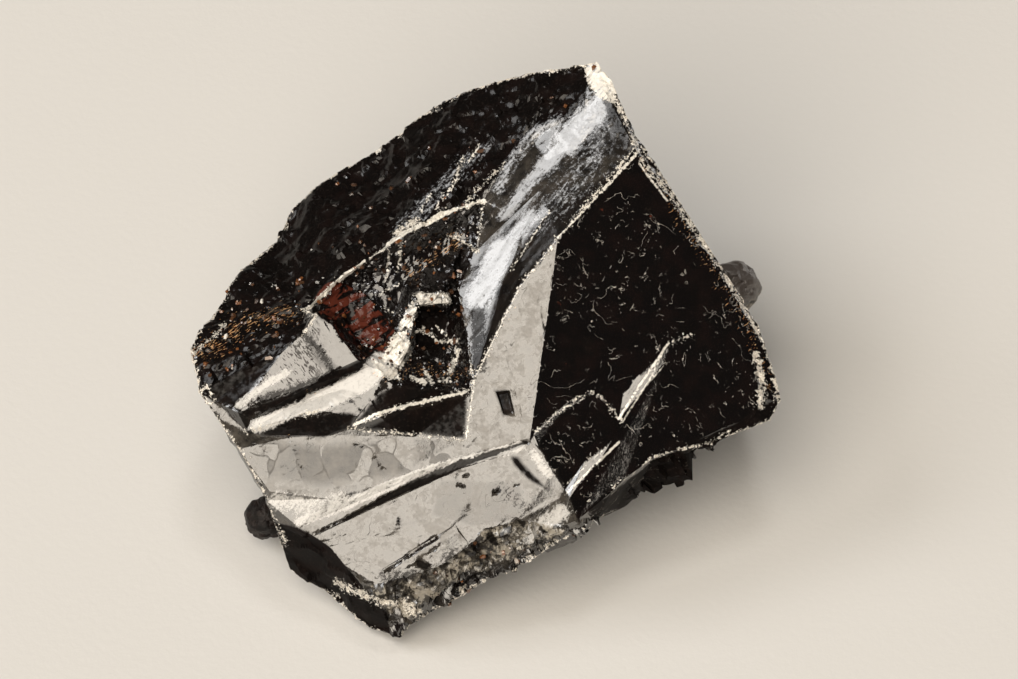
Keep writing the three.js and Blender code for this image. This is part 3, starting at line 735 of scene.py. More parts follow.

# Painted shade as soft dark strokes, with the same four values as the painted highlights
SHADES = [
    ([(-0.6, 2.3), (-0.5, 0.4), (-0.5, -1.1)], 0.25, 0.6, 0.85), ([(1.9, 8.4), (0.5, 7.2)], 0.0, 0.4, 0.6),
    ([(2.6, 6.6), (1.0, 3.4)], 0.0, 0.35, 0.5),
    ([(-12.3, 1.2), (-11.0, -0.3), (-10.2, -1.6)], 0.0, 0.6, 0.8),
    ([(-15.0, -3.4), (-12.5, -2.6), (-10.5, -1.8)], 0.0, 0.55, 0.85),
    ([(-2.6, -13.9), (0.9, -12.8), (2.4, -12.2)], 0.1, 1.0, 0.6),
    ([(0.9, -9.3), (2.9, -10.9)], 0.1, 0.9, 0.45),
    ([(7.9, 16.8), (9.0, 14.4)], 0.15, 0.4, 0.9), ([(8.9, 12.2), (6.6, 9.4)], 0.0, 0.5, 0.4),
    ([(-6.6, -15.2), (-4.0, -15.3), (-2.0, -15.6), (0.5, -14.6)], 0.1, 0.9, 0.72),
    ([(-13.0, -11.9), (-11.7, -13.4)], 0.0, 0.35, 0.5),
]

# Shelly broken skin, as one stroke with the same four values
SHELLS = [([(-16.4, -7.2), (-11.1, -7.8), (-7.5, -7.4), (-3.5, -6.9)], 0.8, 1.0, 1.0)]

# Matte black patches, two of them painted shade: outline in millimetres and strength; above 1, the walls next
# to the rim count too
DULL_AND_SHADE_PATCHES = [
    ([(1.6, -7.2), (2.1, -7.2), (2.9, -8.2), (4.1, -9.4), (3.9, -9.4), (2.6, -8.6), (1.8, -7.8)], 1.0),
    ([(-19.0, -2.7), (-13.7, 0.1), (-14.0, -0.8), (-15.0, -2.0), (-16.5, -3.8), (-18.2, -3.6)], 0.95),
    ([(-16.3, -4.3), (-13.4, -3.1), (-10.1, -1.5), (-8.3, -0.9), (-7.9, -1.5), (-9.8, -2.3), (-11.3, -3.1),
      (-15.7, -4.5)], 0.95),
    ([(-15.9, -5.5), (-13.4, -4.75), (-11.3, -4.5), (-9.5, -4.3), (-8.6, -4.4), (-9.3, -5.3), (-10.8, -5.9),
      (-14.7, -5.8)], 0.9),
    ([(-8.8, -5.0), (-7.0, -2.9), (-6.2, -2.5), (-1.9, -2.9), (-5.5, -3.75)], 0.95),
    ([(-8.1, -5.35), (-5.5, -4.15), (-1.3, -3.2), (-1.45, -6.0), (-5.8, -5.6)], 0.95),
    ([(-4.9, 3.0), (-3.1, 3.2), (-2.6, 1.9), (-2.7, 0.2), (-3.8, -0.3), (-4.8, 0.2)], 1.0),
    ([(9.2, 12.5), (4.65, 7.25), (2.1, 4.0), (0.8, 1.5), (-0.75, -1.9), (-0.7, -0.8), (0.7, 3.7),
      (2.9, 8.0)], 0.85),
    ([(7.3, 16.5), (8.3, 16.5), (9.8, 13.5), (9.2, 12.7), (5.9, 12.7), (6.9, 14.9)], 0.75),
    ([(8.3, -9.5), (10.9, -7.6), (12.3, -7.0), (13.2, -6.3), (15.0, -5.7), (16.6, -4.9), (18.0, -3.9),
      (19.6, -3.4), (19.3, -5.2), (16.5, -6.4), (14.2, -8.5), (10.9, -11.0), (7.7, -12.0),
      (6.6, -10.7)], 1.1),
    # Painted shade in the fold between the ribs
    ([(-12.1, 0.9), (-11.3, 0.2), (-9.5, -1.6), (-10.1, -2.0), (-11.5, -0.8)], 0.4),
    # Painted shade: the front face darker towards the broken band
    ([(-3.1, -8.8), (2.2, -8.9), (2.4, -11.3), (-1.0, -11.8), (-3.6, -11.0)], 0.2),
    ([(0.5, -2.8), (1.5, -2.75), (1.9, -4.3), (1.1, -4.5)], 0.9),
    ([(8.0, 15.3), (9.3, 15.2), (9.6, 13.8), (8.2, 13.4)], 0.6),
    ([(1.9, 10.6), (2.9, 10.2), (1.3, 7.8), (0.3, 8.2)], 0.5),
]


def flattened(points):
    """Points as they are seen from the front, with nothing left of how far out they are."""
    return points * np.array([1.0, 1.0, 0.0])


def segments_of(corners):
    """The straight stretches from each corner to the next, as pairs of flattened points."""
    flat = [np.array([*corner, 0.0]) for corner in corners]
    return list(zip(flat, flat[1:]))


def line_reach(points, lines):
    """How far each point is inside the reach of the nearest line, in millimetres, and negative outside."""
    segments, reach = [], []
    for corners, width in lines:
        segments += segments_of(corners)
        reach += [width] * (len(corners) - 1)
    return -distance_to_segments(flattened(points), segments, reach)


def strokes(points, table):
    """Soft strokes seen from the front: each line's strength within its reach, fading to nothing over
    its softness; the strongest counts."""
    strength = np.zeros(len(points))
    for corners, reach, softness, amount in table:
        distance = distance_to_segments(flattened(points), segments_of(corners))
        strength = np.maximum(strength, amount * (1 - smoothstep(reach, reach + softness, distance)))
    return strength


def patch_depth(points, outline):
    """How far each point is inside an outline seen from the front, in millimetres, and negative outside."""
    distance = distance_to_segments(flattened(points), segments_of([*outline, outline[0]]))
    return np.where(inside(outline, points), distance, -distance)


def along(points, direction, across_size, along_size):
    """Points squeezed along a grain: the direction's own share is divided by a longer size than the rest."""
    grain = np.array(direction) / np.linalg.norm(direction)
    share = points @ grain
    return (points - share[:, None] * grain) / across_size + (share / along_size)[:, None] * grain


def field_relief(points, field, settings):
    """Height of one field's fine relief in millimetres, as a sum of tilted splinters, stretched noise
    and rounded-off terraces."""
    seed = settings.seed * 100 + FIELD_NAMES.index(field) * 10
    slope = settings.fracture_slope
    if field == "hollow":
        upright = along(points, (0.25, 1.0, 0.2), 0.45, 2.2)
        return (splinters(points, 1.1, slope * 0.3, seed) + splinters(points, 0.4, slope * 0.35, seed + 3)
                + 0.05 * smooth_noise(upright, 1, seed + 5))
    if field == "ribs":
        grain = along(points, (1.0, 0.65, 0.0), 0.22, 2.5)
        dashes = along(points, (0.55, -0.8, 0.0), 0.16, 1.1)
        return 0.014 * smooth_noise(grain, 1, seed) + 0.02 * smooth_noise(dashes, 1, seed + 2)
    if field == "middle":
        dimples = smoothstep(0.35, 0.7, smooth_noise(points, 0.5, seed + 4))
        return 0.01 * layered_noise(points, 2.2, seed) - 0.02 * dimples
    if field == "flutes":
        grain = along(points, (0.62, 0.78, 0.0), 0.5, 6.0)
        fine = along(points, (0.62, 0.78, 0.0), 0.2, 2.0)
        pebbles = smoothstep(3.5, 7.0, points[:, 0]) * smoothstep(9.0, 12.0, points[:, 1])
        return (0.035 * smooth_noise(grain, 1, seed) + 0.012 * smooth_noise(fine, 1, seed + 2)
                + (0.15 + 0.5 * pebbles) * splinters(points, 0.34, 0.4 * slope, seed + 4))
    if field == "right":
        steps = terraces(0.6 * layered_noise(points, 5.0, seed, 2), 0.35)
        return 0.02 * steps + 0.006 * layered_noise(points, 1.2, seed + 3)
    if field == "left":
        steps = terraces(layered_noise(points, 3.4, seed, 2), 0.45)
        return 0.045 * steps + 0.012 * layered_noise(points, 1.1, seed + 3)
    if field == "broken":
        holes = smoothstep(0.15, 0.45, smooth_noise(along(points, (0.8, 0.45, 0.2), 0.7, 1.5), 1, seed + 7))
        return (splinters(points, 1.3, slope * 1.1, seed) + splinters(points, 0.45, slope * 0.9, seed + 3)
                - 0.35 * holes)
    if field == "foot":
        return splinters(points, 2.2, 0.2 * slope, seed) + 0.01 * layered_noise(points, 0.8, seed + 3)
    if field == "slope":
        grain = along(points, (0.8, 0.55, -0.3), 0.55, 3.2)
        lumps = terraces(layered_noise(points, 2.8, seed + 5), 0.4, 4.0)
        return (splinters(points, 2.0, 0.3 * slope, seed) + 0.09 * smooth_noise(grain, 1, seed + 3)
                + splinters(points, 0.6, 0.25 * slope, seed + 8) + 0.14 * lumps)
    grain = along(points, (0.05, 0.75, 0.65), 0.4, 9.0)
    lumps = terraces(layered_noise(points, 5.0, seed, 2), 0.35, 6.0)
    broken = smoothstep(-0.1, 0.35, smooth_noise(points, 6.0, seed + 6))
    shards = splinters(points, 2.0, 0.7 * slope, seed + 7) + splinters(points, 0.9, 0.5 * slope, seed + 8)
    return (splinters(points, 4.6, 0.5 * slope, seed + 4) + 0.28 * lumps
            + (1 - broken) * 0.07 * smooth_noise(grain, 1, seed + 3) + broken * shards)


def grow_crystal(settings):
    """The CAD node's triangles cut finer towards its edges and marks. Gives the points, triangles, field
    of each triangle, field shares of each point, and the creases with their reach and those of the rim."""
    points, tris = read_node("twinned_crystal")
    points, tris = weld(to_side(points), tris)
    group = field_of_triangles(points, tris)
    ends, angle, convex, hidden = creases(points, tris, group)
    worn_back = settings.chip_width * MM * np.clip(angle / 60, 0.3, 1.0)
    reach = np.select([(hidden == 1) & convex, hidden == 2], [worn_back, HIDDEN_EDGE_REACH],
                      INNER_EDGE_REACH)
    rim = ends[hidden == 1]

    near = np.array([EDGE_LENGTH[name] for name in FIELD_NAMES])
    far = np.array([OPEN_LENGTH[name] for name in FIELD_NAMES])
    lines = CHIP_LINES + PALE_AND_GLINT_LINES + RIDGE_HIGHLIGHT_LINES + DARK_LINES + PITS
    borders = [([*outline, outline[0]], 0.0) for outline, _ in DULL_AND_SHADE_PATCHES + PALE_PATCHES]
    points, tris, group = cut_finer(points, tris, group, np.full(len(points), 1.0))
    for _ in range(2):
        distance = distance_to_segments(points, ends)
        marked = np.maximum(line_reach(points, lines) + 0.1, line_reach(points, borders))
        distance = np.minimum(distance, np.maximum(-marked, 0))
        closeness = 1 - smoothstep(*CLOSE_TO_EDGE, distance)
        least = np.full((2, len(points)), far.max())
        for corner in range(3):
            np.minimum.at(least[0], tris[:, corner], near[group])
            np.minimum.at(least[1], tris[:, corner], far[group])
        limits = least[1] + (least[0] - least[1]) * closeness
        points, tris, group = cut_finer(points, tris, group, limits)
    share = field_weights(tris, group, len(points))
    return points, tris, group, share, ends, reach, rim


def shape_crystal(settings):
    """Main crystal: points moved along their normals by each field's relief, the crumbled edges and the
    pits, and the attributes of its finish, of its painted highlights and of its painted shade."""
    points, tris, group, share, ends, reach, rim = grow_crystal(settings)
    from_rim = distance_to_segments(points, rim)
    front = (share[HIDDEN] < 0.5) | (from_rim < 0.3) | (point_normals(points, tris)[:, 2] > 0.1)

    def marked(lines):
        """How far inside the nearest line's reach, on the broad side and its rim only."""
        return np.where(front, line_reach(points, lines), NOWHERE)

    chip = np.maximum(-distance_to_segments(points, ends, reach), marked(CHIP_LINES))
    edge = (0.5 * smooth_noise(points, 0.9, settings.seed)
            + 0.35 * smooth_noise(points, 0.4, settings.seed + 1))
    bite = smoothstep(-0.02, 0.3, chip + 0.3 * edge)

    height = np.zeros(len(points))
    rough = np.zeros(len(points))
    for field in FIELD_NAMES:
        used = share[field] > 0
        relief = share[field][used] * field_relief(points[used], field, settings)
        if field == HIDDEN:
            relief = (relief - HIDDEN_INSET) * smoothstep(0.0, HIDDEN_FADE, from_rim[used])
        height[used] += relief
        rough += share[field] * ROUGHNESS.get(field, 0.0)
    crumbs = splinters(points, 0.28, 0.6, settings.seed + 20)
    height += bite * (crumbs - CRUMB_DEPTH)
    dark, pit, pale = marked(DARK_LINES), marked(PITS), marked(PALE_AND_GLINT_LINES)
    dull_and_shade = sum(share[name] * amount for name, amount in DULLNESS.items())
    # Matte fields and patches, two of the patches painted shade
    for outline, amount in DULL_AND_SHADE_PATCHES:
        patch = amount * smoothstep(-0.12, 0.12, patch_depth(points, outline) + 0.15 * edge)
        walls = 0.85 * (1 - smoothstep(2.0, 4.0, from_rim)) if amount > 1 else 0.0
        dull_and_shade = np.maximum(dull_and_shade, patch * np.where(front, 1.0, walls))
    for outline, amount in PALE_PATCHES:
        pale = np.where(front, np.maximum(pale, np.minimum(patch_depth(points, outline), amount)), pale)
    height -= GROOVE_DEPTH * smoothstep(-0.1, 0.1, dark + 0.1 * edge)
    height -= PIT_DEPTH * smoothstep(-0.12, 0.1, pit + 0.1 * edge)

    above_floor = to_part(points)[:, 2] * MM
    height *= smoothstep(*FLOOR_FADE, above_floor)
    moved = points + point_normals(points, tris) * height[:, None]
    film = sum(share[name] * amount for name, amount in FILM.items())
    film *= 1 - share["broken"] * (1 - smoothstep(0.3, 1.8, from_rim + 0.8 * edge))
    attributes = {
        "chip": np.clip(chip, -1, 0.6),
        "rough": rough,
        "film": film,
        "dark": np.clip(np.maximum(dark, pit), -1, 0.3),
        "rust": np.clip(marked(RUST_LINES), -1, 1),
        "red": np.clip(marked(RED_LINES), -1, 1),
        "ridge_highlight": np.clip(marked(RIDGE_HIGHLIGHT_LINES), -1, 0.3),
        # Painted highlights, as strokes on the broad side
        "painted_sheen": np.where(front, strokes(points, PAINTED_SHEENS), 0),
        "shell": np.where(front, strokes(points, SHELLS), 0),
        "shade": np.where(front, strokes(points, SHADES), 0),
        "fluted": share["flutes"] + share["slope"],
        "pale": np.clip(pale, -1, 0.6),
        "dull_and_shade": dull_and_shade,
        "clear": share["right"] + 0.25 * share[HIDDEN],
        "dash": share["ribs"] * (1 - smoothstep(-11.6, -10.4, points[:, 0])),
    }
    return moved, tris, group, attributes


def crystal_material(name, colours):
    """Black, mirror-like mineral with pale chips, hairline scratches, rust in its pits, red windows and
    matte black patches, with painted highlights in silvery strokes, glints and along the ridges, and
    painted shade in dark strokes, grooves, pits and some of the patches."""
    s = Shader(name)
    chip, pale, rough, film, dark, rust = map(s.attribute, ("chip", "pale", "rough", "film", "dark", "rust"))
    red, dull_and_shade, clear, dash, ridge_highlight = map(s.attribute, ("red", "dull_and_shade", "clear", "dash", "ridge_highlight"))
    painted_sheen, shade, shell, fluted = map(s.attribute, ("painted_sheen", "shade", "shell", "fluted"))
    coarse, middling = s.noise(0.8, 3.0), s.noise(2.6, 3.0, shift=(4, 1, 7))
    fine, finest = s.noise(5.5, 3.0), s.noise(14.0, 2.0)
    stroke = s.noise(3.2, 3.0, s.grain(50, 0.3))
    pebbles = s.cells(2.6, "Distance", "SMOOTH_F1")

    # Chipped edges, whitened marks with painted glints among them, and painted highlights along the ridges
    uneven = (middling - 0.5) * 1.0 + (fine - 0.5) * 1.5 + (finest - 0.5) * 0.8
    chipped = (chip + uneven * 0.75 - 0.04).above(0.0, 0.06)
    ragged = ((fine - 0.5) * 0.7 + (finest - 0.5) * 0.3) * (1 - clear * 0.8)
    streaked = 0.25 + stroke.above(0.42, 0.16).most(clear) * 0.75
    # Whitened marks, with the painted glints of the slope
    whitened = (pale + ragged).above(0.0, 0.08) * streaked
    # Painted highlight along the ridges, in the chip colour
    frayed = (fine - 0.5) * 0.24 + (finest - 0.5) * 0.12 + (middling - 0.5) * 0.12
    painted_ridge_highlight = (ridge_highlight + frayed).above(0.0, 0.05)

    # Scratches on the clear faces, and cracks in the film of the others
    cluster = s.noise(0.22, 2.0, shift=(9, 2, 5)).above(0.5, 0.16)
    specks = s.cells(2.6).below(0.07, 0.03) * cluster
    scratches = s.hairlines(0.28, 0.0016, (3.0, 7.0, 1.0), 0.56, 5.0)
    scratches = scratches.most(s.hairlines(0.6, 0.0030, (8.0, 2.0, 6.0), 0.60, 4.0))
    scratches = scratches.most(s.hairlines(1.1, 0.0055, (1.0, 4.0, 2.0), 0.60, 3.0) * cluster).most(specks)
    scratches = scratches * clear * (0.2 + s.noise(2.2, 1.0, shift=(7, 7, 2)).above(0.5, 0.2) * 0.8)
    cracks = s.hairlines(0.5, 0.0028, (5.0, 1.0, 8.0), 0.55)
    cracks = cracks.most(s.hairlines(1.1, 0.005, (2.0, 6.0, 1.0), 0.60))
    cracks = cracks * film.above(0.2, 0.1) * (1 - rough)
    dashes = (s.noise(5.5, 2.0, s.grain(-50, 0.5)) + (coarse - 0.5) * 0.9).above(0.60, 0.10) * dash
    smudge = (coarse * 0.9 + middling * 0.7 + fine * 0.5 - 1.1).above(0.0, 0.3) * film

    # Painted highlights and painted shade as strokes, and the shelly skin
    grainy = (stroke - 0.5) * 1.2 + (fine - 0.5) * 1.1 + (finest - 0.5) * 0.8
    # Painted highlight: a silvery colour along the strokes, frayed by noise
    painted_highlight = (painted_sheen + grainy).above(0.5, 0.55) * painted_sheen.above(0.06, 0.1) * (0.78 + middling * 0.4)
    shaded = (shade + grainy).above(0.5, 0.5) * shade.above(0.06, 0.1)
    pushed = s.pushed(0.5, 2.2)
    facets = Value(s, s.cells(0.5, "Color", place=pushed))
    seams = s.cells(0.5, "Distance", "DISTANCE_TO_EDGE", pushed).below(0.03, 0.04)
    shelly = (facets.above(0.5, 0.25) * 0.5).most(seams * coarse.above(0.45, 0.1) * 0.7) * shell

    # Rust, red windows, crushed skin, and painted shade in the grooves and pits
    flecks = (s.noise(7.0, 2.0, s.grain(35, 0.3)) - 0.70) * 3.0
    rusty = (rust * 0.4 + flecks).above(0.0, 0.1) * rust.above(-0.2, 0.4)
    glow = s.noise(1.4, 3.0, s.grain(35, 0.22))
    redness = (red * 0.3 + (glow - 0.53) * 3.0).above(0.0, 0.2) * red.above(-0.05, 0.1)
    broken = film.above(0.5, 0.1) * rough
    crushed = fine + (finest - 0.5) * 0.6 + (middling - 0.5) * 1.6 + (coarse - 0.5) * 1.8
    crushed = crushed.above(0.52, 0.2)
    # Painted shade: grooves and pits turned matte black
    darkness = (dark + (fine - 0.5) * 0.35).above(0.0, 0.06)

    white = s.blend(finest.above(0.5, 0.2), CREAM, colours.chip)
    colour = s.blend(coarse.above(0.55, 0.3) * 0.5, colours.body, WARM_BLACK)
    mottled = (0.25 + (coarse - 0.5) * 0.9 + (middling - 0.5) * 0.6) * film * (1 - dull_and_shade).most(0.0)
    for amount, shown in (
            (mottled, colours.film),
            (painted_highlight, s.blend(fluted, WARM_HIGHLIGHT_PAINT, COOL_HIGHLIGHT_PAINT)),
            (broken * crushed, CRUSHED_GREY),
            (shaded * 0.8, colours.body),
            (redness * 0.75, colours.red),
            (rusty * 0.8, s.blend(finest.above(0.5, 0.1), DARK_RUST, SANDY_RUST)),
            (scratches * 0.65, white),
            (chipped * (0.25 + middling * 1.2), white),
            (whitened * (0.5 + fine * 0.7), colours.chip),
            (painted_ridge_highlight * (0.55 + fine * 0.7), colours.chip),
            (darkness * 0.9, colours.body)):
        colour = s.blend(amount, colour, shown)

    pits = s.bump(fine * 0.7 + finest * 0.5, 0.006)
    lumps = middling * (0.15 + rough * 0.8 + dash * 0.5) + chipped * 0.5
    normal = s.bump(lumps + broken * pebbles * 0.8 - scratches * 0.4, 0.03, pits)
    roughness = 0.07 + film * 0.14 + rough * 0.10 + chipped * 0.25 + rusty * 0.2 + whitened * 0.1
    roughness = (roughness + (coarse - 0.5) * 0.05).most(0.04)
    polished = s.principled(colour, roughness, normal, CRYSTAL_IOR)
    dusty = s.blend(fine.above(0.6, 0.1) * 0.25, colour, MATTE_BROWN)
    matte = s.principled(dusty, 0.5, normal, MATTE_IOR)
    untouched = (1 - chipped) * (1 - whitened) * (1 - painted_ridge_highlight)
    # Share of the matte shader: matte patches, some of them painted shade, painted shade in grooves, pits and
    # strokes, cracks, dashes, smudges, shelly skin, red windows, the painted highlights and crushed patches
    share = (dull_and_shade * untouched * (0.8 + middling * 0.45)).least(1.0)
    for other in (darkness, cracks * 0.7, dashes * 0.8, smudge * 0.8, shelly, red.above(-0.3, 0.4) * 0.85,
                  painted_highlight * 0.6, shaded * 0.85, broken * (1 - crushed) * 0.7):
        share = share.most(other)
    return s.finish(s.node("ShaderNodeMixShader", {}, {0: share, 1: polished, 2: matte}))


# ---------------------------------------------------------------------------------------------
# Small crystals

GRAIN_CORNERS = 10
GRAIN_SIZES = (0.06, 0.24)                    # millimetres across
GRAIN_LENGTHS = (0.6, 1.6)                    # times as long as they are wide


def small_crystals(places, sizes, longness, turns):
    """Many four-sided prisms with a pyramid at each end. A prism's corners are (+-0.5, +-0.5, +-h), and
    its tips are at +-(h + t); all are stretched, turned, sized and placed as whole arrays."""
    h, t = 0.6, 0.45
    x = np.array([1, -1, -1, 1, 1, -1, -1, 1, 0, 0]) * 0.5
    y = np.array([1, 1, -1, -1, 1, 1, -1, -1, 0, 0]) * 0.5
    z = np.array([-h] * 4 + [h] * 4 + [-h - t, h + t])
    template = np.stack([x, y, z], axis=1)
    i = np.arange(4)
    j = (i + 1) % 4
    low_tip, high_tip = np.full(4, 8), np.full(4, 9)
    rows = ((i, j, j + 4), (i, j + 4, i + 4), (j, i, low_tip), (i + 4, j + 4, high_tip))
    shape = np.vstack([np.stack(row, axis=1) for row in rows])
    stretched = template[None] * np.stack([sizes, sizes, sizes * longness], axis=1)[:, None]
    points = np.einsum("nij,nkj->nki", turns, stretched) + places[:, None]
    tris = shape[None] + (np.arange(len(places)) * GRAIN_CORNERS)[:, None, None]
    return points.reshape(-1, 3), tris.reshape(-1, 3)


def random_turns(random, count):
    """Turn matrices from random unit quaternions."""
    w, x, y, z = unit(random.normal(size=(count, 4))).T
    return np.stack([
        np.stack([1 - 2 * (y * y + z * z), 2 * (x * y - w * z), 2 * (x * z + w * y)], axis=1),
        np.stack([2 * (x * y + w * z), 1 - 2 * (x * x + z * z), 2 * (y * z - w * x)], axis=1),
        np.stack([2 * (x * z - w * y), 2 * (y * z + w * x), 1 - 2 * (x * x + y * y)], axis=1)], axis=1)


def scatter(points, tris, group, field, count, random, keep=None):
    """Seeded places on one field's triangles, chosen by area, at the triangles' middles."""
    rows = np.flatnonzero(group == FIELD_NAMES.index(field))
    if keep is not None:
        rows = rows[keep(points[tris[rows]].mean(axis=1))]
    area = np.linalg.norm(face_normals(points, tris[rows]), axis=1)
    chosen = random.choice(len(rows), size=count, p=area / area.sum())
    return points[tris[rows[chosen]]].mean(axis=1)


def grain_material(name, colours):
    """Tiny crystals: black, honey-brown, rust or cream by their own tint."""
    s = Shader(name)
    tint = s.attribute("tint")
    fine = s.noise(9.0, 2.0)
    colour = s.blend(tint.above(0.55, 0.1), colours.body, HONEY_BROWN)
    colour = s.blend(tint.above(0.80, 0.1), colour, colours.rust)
    colour = s.blend(tint.above(0.97, 0.03), colour, colours.chip)
    return s.surface(colour, 0.10 + fine * 0.2, s.bump(fine, 0.01), CRYSTAL_IOR)


# ---------------------------------------------------------------------------------------------
# Side crystals

KNOB_LENGTH = 0.2                             # millimetres, the triangles' longest edge
KNOB_RELIEF = 0.12                            # slope of the splinters


def shape_growth(node, length, seed, relief):
    """A side crystal: the CAD node's triangles cut finer, with splinters and softened corners."""
    points, tris = read_node(node)
    points, tris = weld(to_side(points), tris)
    group = np.zeros(len(tris), dtype=int)
    points, tris, group = cut_finer(points, tris, group, np.full(len(points), length))
    points = relax(points, tris, 3)
    height = splinters(points, 0.9, relief, seed) + 0.06 * layered_noise(points, 0.5, seed + 9)
    return points + point_normals(points, tris) * height[:, None], tris


def growth_material(name, light, dark, ior, seam_height=None):
    """Weathered side crystal of two colours; with a seam, it is paler below it and has a dark line along
    it, at that height in millimetres."""
    s = Shader(name)
    middling, fine = s.noise(1.4, 4.0), s.noise(6.0, 3.0)
    height = s.node("ShaderNodeSeparateXYZ", {}, {"Vector": s.place}, "Z")
    low = middling if seam_height is None else height.below(seam_height, 1.2)
    colour = s.blend((low * 0.7 + (middling - 0.5) * 0.8).above(0.35, 0.6), dark, light)
    colour = s.blend(fine.above(0.58, 0.12) * 0.5, colour, dark)
    if seam_height is not None:
        seam = (height + (middling - 0.5) * 1.4 - seam_height).size().below(0.12, 0.12)
        colour = s.blend(seam * 0.9, colour, SEAM_BLACK)
    return s.surface(colour, 0.32 + fine * 0.25, s.bump(fine + middling, 0.06), ior)


# ---------------------------------------------------------------------------------------------
# Operators


def off_the_ledges(middle):
    """Not on anything that stands out 4 mm or more from the broad side's middle."""
    return middle[:, 2] < 4.0


def in_the_rust(middle):
    """On the rusty lower left end of the slope."""
    return (middle[:, 0] < -10.5) & (middle[:, 1] < 4.5)


class CRYSTAL_OT_main(bpy.types.Operator):
    """Build the twinned crystal with its fields, chips and pits"""

    bl_idname = "crystal.main"
    bl_label = "Twinned Crystal"

    def execute(self, context):
        scene = context.scene
        points, tris, group, attributes = shape_crystal(scene.crystal_shape)
        piece = write_piece("twinned_crystal_surface", points, tris, attributes, sharp_angle=28)
        piece.data.materials.append(crystal_material("black_crystal", scene.crystal_colours))
        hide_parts("twinned_crystal")

        random = np.random.default_rng(scene.crystal_shape.seed)
        count = scene.crystal_shape.grains
        parts = [scatter(points, tris, group, "hollow", count, random, off_the_ledges),
                 scatter(points, tris, group, "slope", count // 2, random, in_the_rust),
                 scatter(points, tris, group, "slope", count // 3, random),
                 scatter(points, tris, group, "broken", count // 4, random)]
        places = np.vstack(parts)
        sizes = random.uniform(*GRAIN_SIZES, len(places))
        turns = random_turns(random, len(places))
        longness = random.uniform(*GRAIN_LENGTHS, len(places))
        grain_points, grain_tris = small_crystals(places, sizes, longness, turns)
        tint = np.repeat(random.random(len(places)), GRAIN_CORNERS)
        grains = write_piece("small_crystals", grain_points, grain_tris, {"tint": tint})
        grains.data.materials.append(grain_material("small_crystals", scene.crystal_colours))
        return {"FINISHED"}


class CRYSTAL_OT_side_crystals(bpy.types.Operator):
    """Build the two small crystals that stick out at the sides"""

    bl_idname = "crystal.side_crystals"
    bl_label = "Side Crystals"

    def execute(self, context):
        colours = context.scene.crystal_colours
        low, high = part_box("side_crystal_right")
        seam_height = (low.z + high.z) / 2 * MM
        right = (tuple(colours.grey_brown), KNOB_BROWN, CRYSTAL_IOR, seam_height)
        left = (KNOB_BLACK, tuple(colours.body), LEFT_KNOB_IOR)
        for node, slot, seed, finish in (("side_crystal_right", "grey_brown_crystal", 50, right),
                                         ("side_crystal_left", "black_crystal", 60, left)):
            points, tris = shape_growth(node, KNOB_LENGTH, seed, KNOB_RELIEF)
            piece = write_piece(node + "_surface", points, tris, sharp_angle=35)
            piece.data.materials.append(growth_material(node, *finish))
            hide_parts(node)
        return {"FINISHED"}


def soft_box(name, direction, distance, size, colour, radiance):
    """An area light facing the broad side's middle, from a direction in [across, up, out], with its
    distance and size in metres. Its power is radiance times pi times its area."""
    away = SIDE_AXES @ unit(np.array([direction], dtype=float))[0]
    data = bpy.data.lights.new(name, "AREA")
    data.shape = "RECTANGLE"
    data.size, data.size_y = size
    data.color = colour
    data.energy = radiance * math.pi * size[0] * size[1]
    light = bpy.data.objects.new(name, data)
    bpy.context.scene.collection.objects.link(light)
    place = Vector(SIDE_MIDDLE / MM + away * distance)
    light.matrix_world = Matrix.Translation(place) @ Vector(away).to_track_quat("Z", "Y").to_matrix().to_4x4()
    light.visible_camera = False


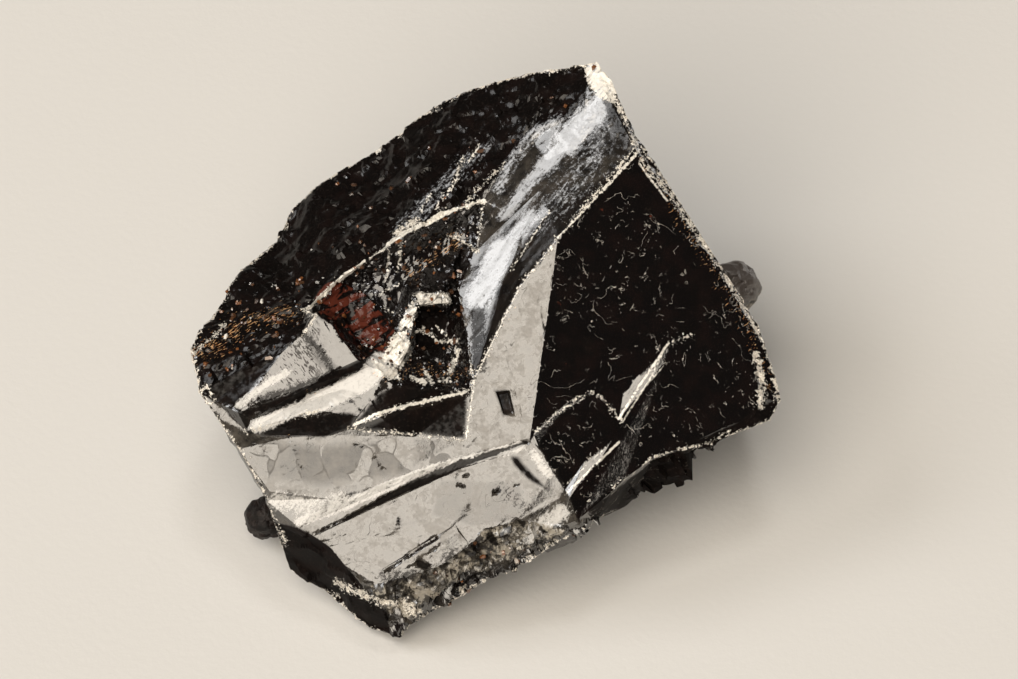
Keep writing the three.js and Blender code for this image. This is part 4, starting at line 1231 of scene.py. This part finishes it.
class CRYSTAL_OT_stage(bpy.types.Operator):
    """Set the floor, the soft lights and the camera"""

    bl_idname = "crystal.stage"
    bl_label = "Stage"

    def execute(self, context):
        scene = context.scene
        studio = scene.crystal_studio
        half = FLOOR_SIZE / 2
        data = bpy.data.meshes.new("floor")
        corners = [(-half, -half, 0), (half, -half, 0), (half, half, 0), (-half, half, 0)]
        data.from_pydata(corners, [], [(0, 1, 2, 3)])
        floor = bpy.data.objects.new("floor", data)
        scene.collection.objects.link(floor)
        s = Shader("floor_paper")
        tone = s.blend(s.noise(0.004, 2.0), tuple(scene.crystal_colours.floor), FLOOR_SHADE)
        data.materials.append(s.surface(tone, 0.9, s.bump(s.noise(2.0, 2.0), 0.02), PAPER_IOR))

        world = bpy.data.worlds.new("dim_studio")
        world.use_nodes = True
        background = world.node_tree.nodes["Background"]
        background.inputs["Color"].default_value = (0.9, 0.95, 1.0, 1.0)
        background.inputs["Strength"].default_value = studio.surround
        scene.world = world

        cool = studio.cool_radiance
        for name, direction, distance, size, colour, radiance in (
                ("warm_box", (-0.252, 0.012, 1.0), 1.55, (1.12, 1.9), (1.0, 0.91, 0.79), studio.key_radiance),
                ("cool_box", (-0.70, 0.45, 0.55), 1.5, (0.62, 0.62), (1.0, 0.99, 0.98), cool),
                ("top_box", (0.05, 0.66, 0.75), 1.3, (0.22, 0.22), (1.0, 0.97, 0.92), cool * 2.2),
                ("back_box", (0.75, 0.62, -0.45), 1.5, (0.8, 0.5), (1.0, 0.97, 0.93), cool * 0.6)):
            soft_box(name, direction, distance, size, colour, radiance)

        lens = bpy.data.cameras.new("camera")
        lens.sensor_width = 36.0
        lens.lens = lens.sensor_width * studio.distance / studio.view_width
        lens.clip_start, lens.clip_end = 0.05, 20.0
        camera = bpy.data.objects.new("camera", lens)
        scene.collection.objects.link(camera)
        aim = SIDE_MIDDLE + SIDE_AXES @ VIEW_CENTRE
        place = Vector(aim / MM + OUT * studio.distance)
        turn = Matrix((ACROSS, UP, OUT)).transposed().to_4x4()
        camera.matrix_world = Matrix.Translation(place) @ turn
        scene.camera = camera
        scene.view_settings.view_transform = "Standard"
        return {"FINISHED"}


class CRYSTAL_PT_panel(bpy.types.Panel):
    """Lists the settings and the steps that build the crystal"""

    bl_idname = "CRYSTAL_PT_panel"
    bl_label = "Cassiterite Crystal"
    bl_space_type = "VIEW_3D"
    bl_region_type = "UI"
    bl_category = "Crystal"

    def draw(self, context):
        for name, cls in SETTINGS.items():
            for key in cls.__annotations__:
                self.layout.prop(getattr(context.scene, name), key)
        for operator in OPERATORS:
            self.layout.operator(operator.bl_idname)


OPERATORS = (CRYSTAL_OT_stage, CRYSTAL_OT_main, CRYSTAL_OT_side_crystals)
SETTINGS = {
    "crystal_shape": ShapeSettings,
    "crystal_colours": ColourSettings,
    "crystal_studio": StudioSettings,
}


def register():
    """Makes the classes known and hangs the settings on the scene."""
    for cls in (*SETTINGS.values(), *OPERATORS, CRYSTAL_PT_panel):
        bpy.utils.register_class(cls)
    for name, cls in SETTINGS.items():
        setattr(bpy.types.Scene, name, PointerProperty(type=cls))


def unregister():
    """Takes the settings and the classes away again."""
    for name in SETTINGS:
        delattr(bpy.types.Scene, name)
    for cls in reversed((*SETTINGS.values(), *OPERATORS, CRYSTAL_PT_panel)):
        bpy.utils.unregister_class(cls)


def main():
    """Builds everything."""
    register()
    bpy.ops.crystal.stage()
    bpy.ops.crystal.main()
    bpy.ops.crystal.side_crystals()


if __name__ == "__main__":
    main()
